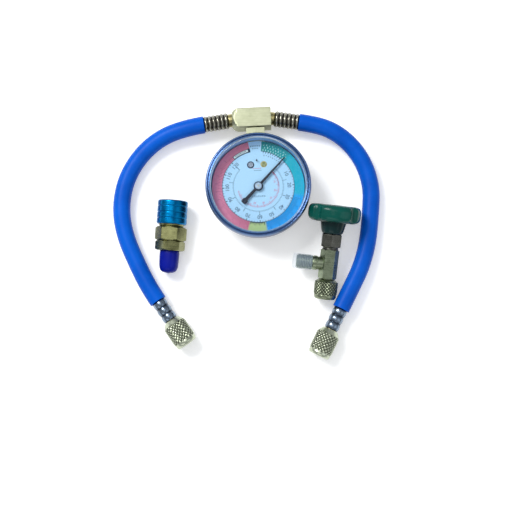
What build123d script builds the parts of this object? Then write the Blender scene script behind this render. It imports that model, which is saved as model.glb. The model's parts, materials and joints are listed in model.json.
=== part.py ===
from build123d import *
import math
import os

os.makedirs("parts", exist_ok=True)

# All sizes are in millimetres and degrees. The gauge lies on its back with the
# middle of its back at the origin, X to the right, Y away and Z up.

# Fits
RUN = 0.05
SLIDE = 0.10

# The gauge and its tee are turned a little on the table
ROW_TURN = 3.0

# Gauge case, bezel and window
CASE_R = 37.0
CASE_WALL = 1.0
CASE_FLOOR = 1.2
CASE_TOP = 25.0
FLANGE_W = 1.6
FLANGE_R = CASE_R + FLANGE_W
FLANGE_T = 1.2
GASKET_T = 1.0
LENS_T = 2.0
LENS_R = FLANGE_R - 2 * SLIDE
BEZEL_WALL = 1.3
BEZEL_R = FLANGE_R + SLIDE + BEZEL_WALL
BEZEL_LIP = 4.6
BEZEL_LIP_T = 1.5
BEZEL_SKIRT = 3.2
BEZEL_HOOK_GAP = 0.3
WINDOW_R = BEZEL_R - BEZEL_LIP
LENS_TOP = CASE_TOP + GASKET_T + LENS_T
BEZEL_TOP = LENS_TOP + BEZEL_LIP_T
BEZEL_FOOT = CASE_TOP - FLANGE_T - BEZEL_SKIRT

# Gauge stem and the block inside the case
STEM_SQUARE = 14.0
STEM_Z = 11.0
STEM_ROOT = CASE_R - 3.0
STEM_REACH = 6.2
STEM_END = BEZEL_R + STEM_REACH
STEM_BORE_R = 1.0
BLOCK_LOW = 5.0
BLOCK_TOP = 13.0
BLOCK_FRONT = 11.0
NPT_R = 4.9
NPT_END = STEM_END + 6.4

# Dial and its screws
DIAL_Z = 18.2
DIAL_T = 0.5
DIAL_GAP = 0.8
DIAL_R = CASE_R - CASE_WALL - DIAL_GAP
DIAL_SCREW = (5.0, 17.0)
DIAL_PILLAR_R = 1.6
STOP_PIN = (-0.2, 20.1)

# Pointer, at the zero mark 45 degrees clockwise from the stem
POINTER_Z = 20.4
POINTER_T = 0.4
POINTER_REST = 45.0
POINTER_TIP = 30.2
POINTER_TAIL = 16.2

# Gear movement
BASE_PLATE_Z = BLOCK_TOP
PLATE_T = 0.8
TOP_PLATE_Z = 16.8
PIVOT_R = 0.6
GEAR_MODULE = 0.25
PINION_TEETH = 12
SECTOR_TEETH = 96
PRESSURE_ANGLE = 25.0
GEAR_THINNING = 0.035
SECTOR_Z = 15.4
SECTOR_T = 0.8
PINION_Z = 15.1
PINION_T = 1.4
CENTRE_DISTANCE = GEAR_MODULE * (PINION_TEETH + SECTOR_TEETH) / 2
TAIL_TURN = -16.4
TAIL_PIN_DISTANCE = 5.0
LINK_PIN_R = 0.5
LINK_Z = 14.3
LINK_T = 0.8
MOVEMENT_PILLARS = [(-8.5, 8.5), (8.5, 8.5), (-7.0, -19.0)]
BASE_SCREWS = [(-4.5, 12.8), (4.5, 12.8)]

# Pressure tube, a flattened C
TUBE_R = 28.0
TUBE_START_ANGLE = 92.5
TIP_LEAD = 1.2
TIP_SPAN = 5.0
SLOT_RUN_OUT = 0.72
TUBE_Z = 9.0
TUBE_H = 6.0
TUBE_W = 2.2
TUBE_WALL = 0.4

# Hair spring
HAIR_Z = 14.2
HAIR_H = 0.5
HAIR_T = 0.12
HAIR_IN = 1.18
HAIR_OUT = 5.0
HAIR_TURNS = 4
COLLET_R = 1.1

# Tee block
TEE_SQUARE = 15.0
TEE_GAP = 0.8
TEE_Y = STEM_END + TEE_GAP + TEE_SQUARE / 2
TEE_LEFT = -17.5
TEE_RIGHT = 12.5
TEE_CONE_START = -13.0
TEE_CONE_END_R = 6.4
SPIGOT_BEND_LEFT = 6.2
SPIGOT_BEND_RIGHT = -11.0
FLOW_R = 1.5

# Hose and the barbs inside it
HOSE_R = 6.6
HOSE_BORE_R = 2.6
COLLAR_R = 5.0
COLLAR_L = 3.0
TEE_FERRULE_L = 19.0
TEE_FERRULE_R = 6.4
CRIMP_R = 5.0
END_FERRULE_L = 17.5
END_FERRULE_R = 5.5
END_CRIMP_R = 4.6

# Knurled hose nut for the 7/16-20 flare thread
NUT_R = 8.9
NUT_L = 21.5
NUT_GAP = 0.4
THREAD_BORE_R = 4.95
THREAD_L = 9.5
NUT_CHAMBER_R = 5.5
NUT_NECK_R = 4.0
NUT_BACK = 4.0
NUT_CONE = 4.8
FLANGE_OUT_R = 4.7
MALE_THREAD_R = 5.55

# Where the two hose ends lie: open end of the nut and heading of the fitting
LEFT_END = (-53.5, -118.9, 8.95)
LEFT_HEADING = -55.0
RIGHT_END = (45.2, -127.6, 8.95)
RIGHT_HEADING = 243.5

# Can tap, from the open end of its nut along its axis. Its handwheel lies beside the bezel
KNOB_R = 20.0
KNOB_OVERHANG = 9.6
TAP_FOOT = (BEZEL_R + KNOB_R - KNOB_OVERHANG, -84.6, 8.2)
TAP_TURN = 6.4
TAP_RISE = 10.67
TAP_NUT_L = 15.0
TAP_NUT_CONE = 2.4
TAP_NUT_BACK = 3.0
TAP_THREAD_L = 5.8
TAP_SPIGOT_END = 7.6
TAP_BODY_START = 15.3
TAP_BODY_END = 37.7
TAP_BODY_FLATS = 12.4
TAP_BORE_R = 4.2
TAP_SEAT = 22.0
BONNET_START = 39.5
BONNET_END = 49.7
BONNET_FLATS = 14.4
SPINDLE_R = 3.0
ORING_S = 29.5
ORING_WIRE_R = 0.8
KNOB_START = 49.9
KNOB_HUB_L = 8.7
KNOB_T = 13.0
KNOB_RECESS = 1.6
KNOB_FLOOR = 2.5
PORT_S = 26.5
PORT_CAP_START = 12.4
PORT_CAP_L = 15.1
PORT_CAP_R = 6.15
PORT_END = 24.6

# Quick coupler, from its open socket along its axis
COUPLER_MOUTH = (-65.2, -9.4, 12.75)
COUPLER_TURN = 3.8
COUPLER_DIP = 4.4
SLEEVE_R = 11.5
SLEEVE_START = 0.5
SLEEVE_END = 18.7
LAND_R = 9.0
LAND_START = 3.3
LAND_END = 7.5
SHOULDER_S = 16.0
RETAINER_GROOVE_R = 8.4
RETAINER_R = 9.75
RETAINER_S = 2.8
RETAINER_T = 0.7
SPRING_WIRE_R = 0.36
SLEEVE_SPRING_R = LAND_R + SPRING_WIRE_R + 0.09
PLUNGER_HEAD_END = 17.0
ADAPTER_SPIGOT_S = 25.0
SOCKET_R = 6.6
BALL_R = 0.9
BALL_S = 4.4
BALL_COUNT = 6
HEX1_START = 20.7
HEX1_END = 31.2
HEX1_FLATS = 21.2
HEX2_START = 31.3
HEX2_END = 38.8
HEX2_FLATS = 20.0
COUPLER_PORT_L = 11.5
CAP_R = 6.5
CAP_L = 17.4

# Middle points of the hose centre lines, from the tee to the free end
LEFT_ROUTE = [
    (-74.3, 41.5, 8.2),
    (-91.0, 27.9, 6.7),
    (-102.8, 7.7, 6.7),
    (-106.4, -15.5, 6.7),
    (-102.4, -36.6, 6.7),
    (-92.9, -57.8, 7.2),
]
RIGHT_ROUTE = [
    (62.65, 42.71, 9.9),
    (74.93, 31.52, 7.9),
    (83.42, 17.25, 6.8),
    (87.64, 0.39, 6.7),
    (86.63, -17.5, 6.7),
    (84.17, -41.59, 6.7),
    (78.63, -60.55, 7.6),
]
# Straight run of hose in front of each ferrule
LEFT_RUNS = (11.9, 12.2)
RIGHT_RUNS = (16.3, 17.6)


def lathe(*profile):
    """Turned solid about Z from (radius, height) corners."""
    corners = [(r, 0, z) for r, z in profile]
    return revolve(make_face(Polyline(*corners, close=True)), Axis.Z)


def tube(outer, inner, low, high):
    """Plain round tube about Z."""
    return lathe((inner, low), (outer, low), (outer, high), (inner, high))


def rod(radius, low, high, at=(0, 0)):
    """Plain round rod along Z."""
    return Pos(at[0], at[1], low) * extrude(Circle(radius), high - low)


def hex_bar(flats, low, high, bevel=0.0, turn=0.0):
    """Hexagon bar along Z with both ends turned to a bevel."""
    outline = RegularPolygon(flats / 2, 6, major_radius=False, rotation=turn)
    bar = Pos(0, 0, low) * extrude(outline, high - low)
    if bevel:
        corner = flats / 2 / math.cos(math.radians(30))
        drop = bevel * math.tan(math.radians(30))
        turned = lathe(
            (0, low), (corner - bevel, low), (corner + 0.01, low + drop),
            (corner + 0.01, high - drop), (corner - bevel, high), (0, high),
        )
        bar = bar & turned
    return bar


def frame(origin, heading, rise=0.0):
    """Place whose Z runs along a heading in plan, raised by rise."""
    flat = math.cos(math.radians(rise))
    along = (
        math.cos(math.radians(heading)) * flat,
        math.sin(math.radians(heading)) * flat,
        math.sin(math.radians(rise)),
    )
    side = (math.sin(math.radians(heading)), -math.cos(math.radians(heading)), 0)
    return Location(Plane(origin=origin, x_dir=side, z_dir=along))


def in_frame(place, point):
    """A point given in a frame, in the part's own axes."""
    moved = (place * Pos(*point)).position
    return (moved.X, moved.Y, moved.Z)


def save(name, shape):
    """Write one node and report its volume."""
    shape.label = name
    export_step(shape, f"parts/{name}.step")
    print(f"{name:26s} {len(shape.solids()):2d} solids {shape.volume:10.2f} mm3")


def group(solids):
    """Several separate solids in one node."""
    return Compound([s for part in solids for s in part.solids()])


ROW = Rot(0, 0, ROW_TURN)


# Gauge housing


def gauge_case():
    shell = lathe(
        (0, 0), (CASE_R - 1.2, 0), (CASE_R, 1.2), (CASE_R, CASE_TOP - FLANGE_T),
        (FLANGE_R, CASE_TOP - FLANGE_T), (FLANGE_R, CASE_TOP),
        (CASE_R - CASE_WALL, CASE_TOP), (CASE_R - CASE_WALL, CASE_FLOOR), (0, CASE_FLOOR),
    )
    opening = Pos(0, CASE_R, STEM_Z) * Box(STEM_SQUARE, 8 * CASE_WALL, STEM_SQUARE)
    return shell - opening


def bezel_ring():
    inside = FLANGE_R + SLIDE
    hook = CASE_R + BEZEL_HOOK_GAP
    return lathe(
        (hook, BEZEL_FOOT), (BEZEL_R - 0.7, BEZEL_FOOT), (BEZEL_R, BEZEL_FOOT + 0.9),
        (BEZEL_R, BEZEL_TOP - 2.2), (BEZEL_R - 0.6, BEZEL_TOP - 0.7),
        (BEZEL_R - 2.0, BEZEL_TOP), (WINDOW_R + 0.8, BEZEL_TOP),
        (WINDOW_R, BEZEL_TOP - 0.8), (WINDOW_R, LENS_TOP), (inside, LENS_TOP),
        (inside, CASE_TOP - FLANGE_T), (hook, CASE_TOP - FLANGE_T),
    )


def lens_gasket():
    return tube(LENS_R, CASE_R - CASE_WALL, CASE_TOP, CASE_TOP + GASKET_T)


def lens():
    low = CASE_TOP + GASKET_T
    return lathe((0, low), (LENS_R, low), (LENS_R, LENS_TOP), (0, LENS_TOP))


def tube_section(width, height, corner):
    """Rounded flat section of the pressure tube, standing in the XZ plane."""
    face = fillet(Rectangle(width, height).vertices(), corner)
    return Location(Plane(origin=(TUBE_R, 0, TUBE_Z), x_dir=(1, 0, 0), z_dir=(0, -1, 0))) * face


LINK_Y = -CENTRE_DISTANCE - TAIL_PIN_DISTANCE * math.cos(math.radians(TAIL_TURN))
TUBE_END_ANGLE = 360.0 - math.degrees(math.asin(-LINK_Y / TUBE_R)) - TIP_LEAD


def arc_solid(face, start, stop):
    """A section turned about Z from one angle to another."""
    return Rot(0, 0, start) * revolve(face, Axis.Z, revolution_arc=stop - start)


def gauge_socket():
    half = STEM_SQUARE / 2
    square = Pos(0, (STEM_ROOT + STEM_END) / 2, STEM_Z) * Box(
        STEM_SQUARE, STEM_END - STEM_ROOT, STEM_SQUARE
    )
    inner_end = STEM_ROOT + 0.5
    inner = Pos(0, (BLOCK_FRONT + inner_end) / 2, (BLOCK_LOW + BLOCK_TOP) / 2) * Box(
        2 * half, inner_end - BLOCK_FRONT, BLOCK_TOP - BLOCK_LOW
    )
    body = square + inner
    body += [rod(DIAL_PILLAR_R, BLOCK_TOP - 0.5, DIAL_Z, (x, DIAL_SCREW[1]))
             for x in (-DIAL_SCREW[0], DIAL_SCREW[0])]
    along_y = Location(Plane(origin=(0, 0, STEM_Z), x_dir=(1, 0, 0), z_dir=(0, 1, 0)))
    body += along_y * rod(NPT_R, STEM_END - 0.5, NPT_END)
    body -= along_y * rod(STEM_BORE_R, TUBE_R, NPT_END + 0.4)
    slot_turn = math.degrees(math.asin((half + SLOT_RUN_OUT) / TUBE_R))
    body -= arc_solid(tube_section(TUBE_W, TUBE_H, 1.0), 90.0, 90.0 + slot_turn)
    for x in (-DIAL_SCREW[0], DIAL_SCREW[0]):
        body -= rod(0.8, DIAL_Z - 3.0, DIAL_Z, (x, DIAL_SCREW[1]))
    for spot in BASE_SCREWS:
        body -= rod(0.75, BLOCK_TOP - 3.0, BLOCK_TOP, spot)
    return body


def bourdon_tube():
    skin = arc_solid(tube_section(TUBE_W, TUBE_H, 1.0), TUBE_START_ANGLE, TUBE_END_ANGLE)
    hollow = arc_solid(
        tube_section(TUBE_W - 2 * TUBE_WALL, TUBE_H - 2 * TUBE_WALL, 0.6), TUBE_START_ANGLE, TUBE_END_ANGLE
    )
    return skin - hollow


TAIL_PIN_X = TAIL_PIN_DISTANCE * math.sin(math.radians(TAIL_TURN))
TIP_PIN_X = math.sqrt(TUBE_R**2 - LINK_Y**2) + 0.2


def tube_tip():
    """Closed end of the pressure tube with the post that carries the link."""
    cap = arc_solid(tube_section(TUBE_W + 0.8, TUBE_H + 1.0, 0.5), TUBE_END_ANGLE, TUBE_END_ANGLE + TIP_SPAN)
    post = rod(1.1, TUBE_Z + TUBE_H / 2, LINK_Z, (TIP_PIN_X, LINK_Y))
    return cap + post


def link():
    length = TIP_PIN_X - TAIL_PIN_X
    bar = Pos((TIP_PIN_X + TAIL_PIN_X) / 2, LINK_Y, LINK_Z) * extrude(
        SlotCenterToCenter(length, 2.2), LINK_T
    )
    bar -= rod(0.7, LINK_Z, LINK_Z + LINK_T, (TIP_PIN_X, LINK_Y))
    bar -= rod(LINK_PIN_R, LINK_Z, LINK_Z + LINK_T, (TAIL_PIN_X, LINK_Y))
    return bar


def link_pins():
    """Rivet at the tube end and the slot pin at the sector end."""
    top = LINK_Z + LINK_T
    rivet = rod(0.7, LINK_Z, top, (TIP_PIN_X, LINK_Y)) + rod(1.2, top, top + 0.5, (TIP_PIN_X, LINK_Y))
    slot_pin = rod(LINK_PIN_R, LINK_Z, SECTOR_Z + SECTOR_T + 0.3, (TAIL_PIN_X, LINK_Y))
    return group([rivet, slot_pin])


# Gear movement


def involute_tooth(teeth, addendum, dedendum, thinning):
    """Half outline of one tooth as (radius, half angle) from root to tip."""
    pitch_r = GEAR_MODULE * teeth / 2
    base_r = pitch_r * math.cos(math.radians(PRESSURE_ANGLE))
    tip_r = pitch_r + addendum * GEAR_MODULE
    root_r = pitch_r - dedendum * GEAR_MODULE

    def involute(radius):
        slope = math.acos(min(1.0, base_r / radius))
        return math.tan(slope) - slope

    at_pitch = math.pi / 2 / teeth - thinning / pitch_r
    steps = 4
    start_r = max(base_r, root_r)
    outline = []
    if root_r < base_r:
        outline.append((root_r, at_pitch + involute(pitch_r)))
    for i in range(steps + 1):
        radius = start_r + (tip_r - start_r) * i / steps
        outline.append((radius, at_pitch + involute(pitch_r) - involute(radius)))
    return outline


def tooth_corners(teeth, numbers, addendum, dedendum, first_angle):
    """Corners of a row of teeth, counterclockwise."""
    half = involute_tooth(teeth, addendum, dedendum, GEAR_THINNING)
    corners = []
    for n in numbers:
        middle = first_angle + 2 * math.pi * n / teeth
        for radius, angle in half:
            corners.append((radius * math.cos(middle - angle), radius * math.sin(middle - angle)))
        for radius, angle in reversed(half):
            corners.append((radius * math.cos(middle + angle), radius * math.sin(middle + angle)))
    return corners


def pinion_arbor():
    corners = tooth_corners(PINION_TEETH, range(PINION_TEETH), 0.9, 1.1, math.radians(-90))
    teeth = Pos(0, 0, PINION_Z) * extrude(make_face(Polyline(*corners, close=True)), PINION_T)
    shaft = lathe(
        (0, BASE_PLATE_Z + 0.05), (PIVOT_R, BASE_PLATE_Z + 0.05),
        (PIVOT_R, BASE_PLATE_Z + PLATE_T + 0.1), (COLLET_R, BASE_PLATE_Z + PLATE_T + 0.1),
        (COLLET_R, PINION_Z + 0.01), (PIVOT_R, PINION_Z + 0.01), (PIVOT_R, 22.2), (0, 22.2),
    )
    return teeth + shaft


def sector_gear():
    """Toothed fan with its slotted tail, turning about its own pivot."""
    first = math.radians(90) + math.pi / SECTOR_TEETH
    numbers = range(-12, 3)
    corners = tooth_corners(SECTOR_TEETH, numbers, 0.7, 1.15, first)
    fan = make_face(Polyline(*corners, (-1.6, 0.4), (0, -1.7), (1.8, -0.2), close=True))
    hub = Circle(2.2)
    tail = Rot(0, 0, TAIL_TURN) * Pos(0, -3.3) * Rectangle(3.2, 6.6)
    slot = Rot(0, 0, TAIL_TURN) * Pos(0, -5.0) * Rectangle(2 * LINK_PIN_R + 0.16, 2.0)
    window_mid = math.radians(-17 + 90)
    window = Pos(6.6 * math.cos(window_mid), 6.6 * math.sin(window_mid)) * Circle(1.9)
    shape = fan + hub + tail - slot - window - Circle(0.9)
    return Pos(0, -CENTRE_DISTANCE, SECTOR_Z) * extrude(shape, SECTOR_T)


def sector_arbor():
    low = BASE_PLATE_Z
    high = TOP_PLATE_Z + PLATE_T
    shaft = lathe(
        (0, low + 0.05), (PIVOT_R, low + 0.05), (PIVOT_R, low + PLATE_T + 0.1),
        (0.9, low + PLATE_T + 0.1), (0.9, TOP_PLATE_Z - 0.1), (PIVOT_R, TOP_PLATE_Z - 0.1),
        (PIVOT_R, high - 0.05), (0, high - 0.05),
    )
    return Pos(0, -CENTRE_DISTANCE, 0) * shaft


PLATE_SIDE = [(10.5, 6.5), (3.2, -16.5), (-3.5, -21.5), (-9.5, -21.0), (-10.5, 6.5)]


def plate_blank(top_edge):
    corners = [(-10.5, top_edge), (10.5, top_edge), *PLATE_SIDE]
    return make_face(Polyline(*corners, close=True))


def pivot_holes():
    return [Circle(PIVOT_R + RUN), Pos(0, -CENTRE_DISTANCE) * Circle(PIVOT_R + RUN)]


def movement_base_plate():
    """Lower plate, with the stud that holds the outer end of the hair spring."""
    face = plate_blank(14.4)
    for hole in pivot_holes():
        face -= hole
    for spot in BASE_SCREWS:
        face -= Pos(*spot) * Circle(0.75)
    plate = Pos(0, 0, BASE_PLATE_Z) * extrude(face, PLATE_T)
    return plate + rod(0.5, BASE_PLATE_Z + 0.2, HAIR_Z + HAIR_H + 0.2, (HAIR_OUT + 0.56, 0))


def movement_top_plate():
    face = plate_blank(10.8)
    for hole in pivot_holes():
        face -= hole
    for spot in MOVEMENT_PILLARS:
        face -= Pos(*spot) * Circle(0.7)
    return Pos(0, 0, TOP_PLATE_Z) * extrude(face, PLATE_T)


def movement_pillars():
    low = BASE_PLATE_Z + PLATE_T
    pillars = []
    for spot in MOVEMENT_PILLARS:
        pillars.append(rod(1.3, low, TOP_PLATE_Z, spot) - rod(0.7, TOP_PLATE_Z - 2, TOP_PLATE_Z, spot))
    return group(pillars)


def cheese_screw(shank_r, head_r, low, seat, head, spot):
    """Slotted screw with its head above the seat."""
    screw = rod(shank_r, low, seat, spot) + rod(head_r, seat, seat + head, spot)
    slot = Pos(spot[0], spot[1], seat + head) * Box(0.28 * head_r * 2, head_r * 3, head)
    return screw - slot


def movement_screws():
    screws = []
    for spot in MOVEMENT_PILLARS:
        screws.append(cheese_screw(0.7, 1.4, TOP_PLATE_Z - 2, TOP_PLATE_Z + PLATE_T, 0.5, spot))
    for spot in BASE_SCREWS:
        screws.append(cheese_screw(0.75, 1.5, BLOCK_TOP - 3, BASE_PLATE_Z + PLATE_T, 0.8, spot))
    return group(screws)


def hairspring():
    """Flat spiral between the collet and its stud."""
    steps = HAIR_TURNS * 18
    inner = []
    outer = []
    for i in range(steps + 1):
        turn = 2 * math.pi * HAIR_TURNS * i / steps
        radius = HAIR_IN + (HAIR_OUT - HAIR_IN) * i / steps
        inner.append((radius * math.cos(turn), radius * math.sin(turn)))
        outer.append(((radius + HAIR_T) * math.cos(turn), (radius + HAIR_T) * math.sin(turn)))
    outline = make_face(Polyline(*inner, *reversed(outer), close=True))
    return Pos(0, 0, HAIR_Z) * extrude(outline, HAIR_H)


# Dial and pointer


def dial_plate():
    face = Circle(DIAL_R) - Circle(2.5) - Pos(*STOP_PIN) * Circle(0.5)
    for x in (-DIAL_SCREW[0], DIAL_SCREW[0]):
        face -= Pos(x, DIAL_SCREW[1]) * Circle(0.8)
    return Pos(0, 0, DIAL_Z) * extrude(face, DIAL_T)


def dial_screws():
    screws = []
    for x in (-DIAL_SCREW[0], DIAL_SCREW[0]):
        screws.append(cheese_screw(0.8, 1.9, DIAL_Z - 3, DIAL_Z + DIAL_T, 0.8, (x, DIAL_SCREW[1])))
    return group(screws)


def stop_pin():
    return rod(0.5, DIAL_Z, 21.2, STOP_PIN)


def pointer():
    """Thin needle with a heavier tail that ends in a small crescent."""
    needle = make_face(Polyline(
        (-0.9, 0), (0.9, 0), (0.75, 12), (0.22, POINTER_TIP - 0.8), (0, POINTER_TIP),
        (-0.22, POINTER_TIP - 0.8), (-0.75, 12), close=True,
    ))
    tail = make_face(Polyline(
        (-0.9, 0), (-1.2, -POINTER_TAIL + 2.4), (-2.4, -POINTER_TAIL + 0.4),
        (-1.1, -POINTER_TAIL + 1.1), (0, -POINTER_TAIL + 1.3), (1.1, -POINTER_TAIL + 1.1),
        (2.4, -POINTER_TAIL + 0.4), (1.2, -POINTER_TAIL + 2.4), (0.9, 0), close=True,
    ))
    shape = needle + tail + Circle(3.6) - Circle(1.2)
    return Rot(0, 0, -POINTER_REST) * Pos(0, 0, POINTER_Z) * extrude(shape, POINTER_T)


def pointer_hub():
    """Bushing pressed on the arbor, with a slotted cap over the needle."""
    top = POINTER_Z + POINTER_T
    hub = lathe(
        (PIVOT_R, POINTER_Z - 0.8), (1.2, POINTER_Z - 0.8), (1.2, top), (2.8, top),
        (2.8, top + 1.1), (2.4, top + 1.5), (0, top + 1.5), (0, 22.2), (PIVOT_R, 22.2),
    )
    slot = Pos(0, 0, top + 1.5) * Box(5.8, 0.5, 0.7)
    return Rot(0, 0, -POINTER_REST) * (hub - slot)


# Tee and the crimped hose ends on it

TEE_LEFT_FRAME = ROW * frame((TEE_LEFT, TEE_Y, STEM_Z), 180 + SPIGOT_BEND_LEFT)
TEE_RIGHT_FRAME = ROW * frame((TEE_RIGHT, TEE_Y, STEM_Z), SPIGOT_BEND_RIGHT)
MOUTH_S = COLLAR_L + TEE_FERRULE_L


def tee_block():
    """Square brass bar, coned at one end, with a barbed spigot at each end."""
    middle = (TEE_LEFT + TEE_RIGHT) / 2
    bar = Pos(middle, TEE_Y, STEM_Z) * Box(TEE_RIGHT - TEE_LEFT, TEE_SQUARE, TEE_SQUARE)
    along_x = Location(Plane(origin=(0, TEE_Y, STEM_Z), x_dir=(0, 1, 0), z_dir=(1, 0, 0)))
    turned = lathe(
        (0, TEE_LEFT), (TEE_CONE_END_R, TEE_LEFT), (10.8, TEE_CONE_START),
        (10.8, TEE_RIGHT - 0.2), (10.3, TEE_RIGHT), (0, TEE_RIGHT),
    )
    bar = bar & (along_x * turned)
    along_y = Location(Plane(origin=(0, 0, STEM_Z), x_dir=(1, 0, 0), z_dir=(0, 1, 0)))
    bar -= along_y * rod(NPT_R, TEE_Y - TEE_SQUARE / 2 - 0.5, NPT_END)
    bar -= along_y * rod(FLOW_R, NPT_END, TEE_Y)
    bar -= along_x * rod(FLOW_R, TEE_LEFT, TEE_RIGHT)
    body = ROW * bar
    for place in (TEE_LEFT_FRAME, TEE_RIGHT_FRAME):
        body += place * rod(COLLAR_R, -1.2, COLLAR_L)
        body += place * rod(HOSE_BORE_R, 0, MOUTH_S - 0.5)
    for place in (TEE_LEFT_FRAME, TEE_RIGHT_FRAME):
        body -= place * rod(FLOW_R, -2, MOUTH_S)
    return body


def tee_ferrule(place):
    """Crimped ferrule with narrow ribs and an inward lip at the tee end."""
    low = COLLAR_L
    high = MOUTH_S
    ribs = 7
    pitch = (high - low - 1.4) / ribs
    corners = [(HOSE_BORE_R, low), (TEE_FERRULE_R - 0.6, low), (TEE_FERRULE_R - 0.5, low + 0.7)]
    for i in range(ribs):
        start = low + 0.7 + pitch * i
        corners.append((TEE_FERRULE_R, start + pitch * 0.35))
        corners.append((TEE_FERRULE_R, start + pitch * 0.6))
        corners.append((TEE_FERRULE_R - 0.5, start + pitch * 0.95))
    corners += [(TEE_FERRULE_R, high), (CRIMP_R, high), (CRIMP_R, low + 1.0), (HOSE_BORE_R, low + 1.0)]
    return place * lathe(*corners)


# Free ends of the hoses


def end_frame(end, heading):
    """Frame at the mouth of an end ferrule, running out to the open nut."""
    back = END_FERRULE_L + NUT_GAP + NUT_L
    angle = math.radians(heading)
    mouth = (end[0] - back * math.cos(angle), end[1] - back * math.sin(angle), end[2])
    return frame(mouth, heading)


LEFT_FRAME = end_frame(LEFT_END, LEFT_HEADING)
RIGHT_FRAME = end_frame(RIGHT_END, RIGHT_HEADING)
NUT_START = END_FERRULE_L + NUT_GAP


def end_ferrule(place):
    """Bright ferrule with three broad crimps."""
    pitch = (END_FERRULE_L - 1.2) / 3
    valley = END_FERRULE_R - 0.55
    corners = [(END_CRIMP_R, 0), (END_FERRULE_R + 0.2, 0), (END_FERRULE_R, 0.6), (valley, 0.9)]
    for i in range(3):
        start = 0.9 + pitch * i
        corners.append((END_FERRULE_R, start + pitch * 0.25))
        corners.append((END_FERRULE_R, start + pitch * 0.75))
        corners.append((valley, start + pitch))
    corners += [
        (valley, END_FERRULE_L), (HOSE_BORE_R, END_FERRULE_L),
        (HOSE_BORE_R, END_FERRULE_L - 1), (END_CRIMP_R, END_FERRULE_L - 1),
    ]
    return place * lathe(*corners)


def hose_stem(place):
    """Barbed stem with the collar, flange and nose that sit inside the nut."""
    flange = NUT_START + NUT_BACK + 0.3
    return place * lathe(
        (FLOW_R, 0.5), (HOSE_BORE_R, 0.5), (HOSE_BORE_R, END_FERRULE_L),
        (NUT_NECK_R - SLIDE, END_FERRULE_L), (NUT_NECK_R - SLIDE, flange), (FLANGE_OUT_R, flange),
        (FLANGE_OUT_R, flange + 2.0), (3.4, flange + 2.0), (3.4, flange + 4.0), (FLOW_R, flange + 4.0),
    )


def nut_gasket(place):
    flange = NUT_START + NUT_BACK + 0.3
    return place * tube(FLANGE_OUT_R, 3.4, flange + 2.0, flange + 4.4)


def core_pin(place, low, reach):
    """Cross bar and pin that open the valve core of the port it screws onto."""
    bar = Pos(0, 0, low + 0.5) * Box(2 * FLOW_R - 0.2, 0.9, 1.0)
    return place * (bar + rod(0.55, low + 0.5, low + reach))


def swivel_nut(place, low, length, thread, cone, back):
    """Knurled nut: neck hole, cone, chamber and threaded mouth."""
    high = low + length
    return place * lathe(
        (NUT_NECK_R, low), (NUT_R - 2.9, low), (NUT_R - 2.5, low + 0.1 * cone),
        (NUT_R - 0.6, low + 0.72 * cone), (NUT_R, low + cone),
        (NUT_R, high - 3.4), (NUT_R - 0.5, high - 3.0), (NUT_R - 0.5, high - 1.2),
        (NUT_R - 1.3, high), (THREAD_BORE_R + 0.35, high), (THREAD_BORE_R, high - 0.35),
        (THREAD_BORE_R, high - thread), (NUT_CHAMBER_R, high - thread - 0.5),
        (NUT_CHAMBER_R, low + back), (NUT_NECK_R, low + back),
    )


def route_radii(points):
    """Arc radius at each inner point, and the length of the whole line."""
    radii = []
    cut = 0.0
    for before, here, after in zip(points, points[1:], points[2:]):
        first = Vector(*here) - Vector(*before)
        second = Vector(*after) - Vector(*here)
        turn = math.radians(first.get_angle(second))
        radius = 0.45 * min(first.length, second.length) / math.tan(turn / 2)
        radii.append(radius)
        cut += 2 * radius * math.tan(turn / 2) - radius * turn
    runs = sum((Vector(*b) - Vector(*a)).length for a, b in zip(points, points[1:]))
    return radii, runs - cut


def hose(name, start_place, route, end_place, runs):
    """Rubber hose with a crimped neck inside the ferrule at each end."""
    first = in_frame(start_place, (0, 0, MOUTH_S + runs[0]))
    last = in_frame(end_place, (0, 0, -runs[1]))
    points = [in_frame(start_place, (0, 0, MOUTH_S)), first, *route, last, in_frame(end_place, (0, 0, 0))]
    radii, length = route_radii(points)
    print(name, "points", [tuple(round(c, 2) for c in p) for p in points])
    print(name, "arc radii", [round(r, 1) for r in radii], "length", round(length, 1))
    line = FilletPolyline(*points, radius=radii)
    free = sweep(Plane(origin=line @ 0, z_dir=line % 0) * Circle(HOSE_R), path=line)
    body = free + start_place * rod(CRIMP_R, COLLAR_L + 1.0, MOUTH_S + 0.2)
    body += end_place * rod(END_CRIMP_R, -0.2, END_FERRULE_L - 1)
    points[0] = in_frame(start_place, (0, 0, COLLAR_L))
    points[-1] = in_frame(end_place, (0, 0, END_FERRULE_L))
    inner_line = FilletPolyline(*points, radius=radii)
    bore = sweep(Plane(origin=inner_line @ 0, z_dir=inner_line % 0) * Circle(HOSE_BORE_R), path=inner_line)
    print(name, "free volume", round(free.volume), "against", round(math.pi * HOSE_R**2 * length))
    return body - bore


# Can tap

TAP = frame(TAP_FOOT, 90 - TAP_TURN, TAP_RISE)


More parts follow.
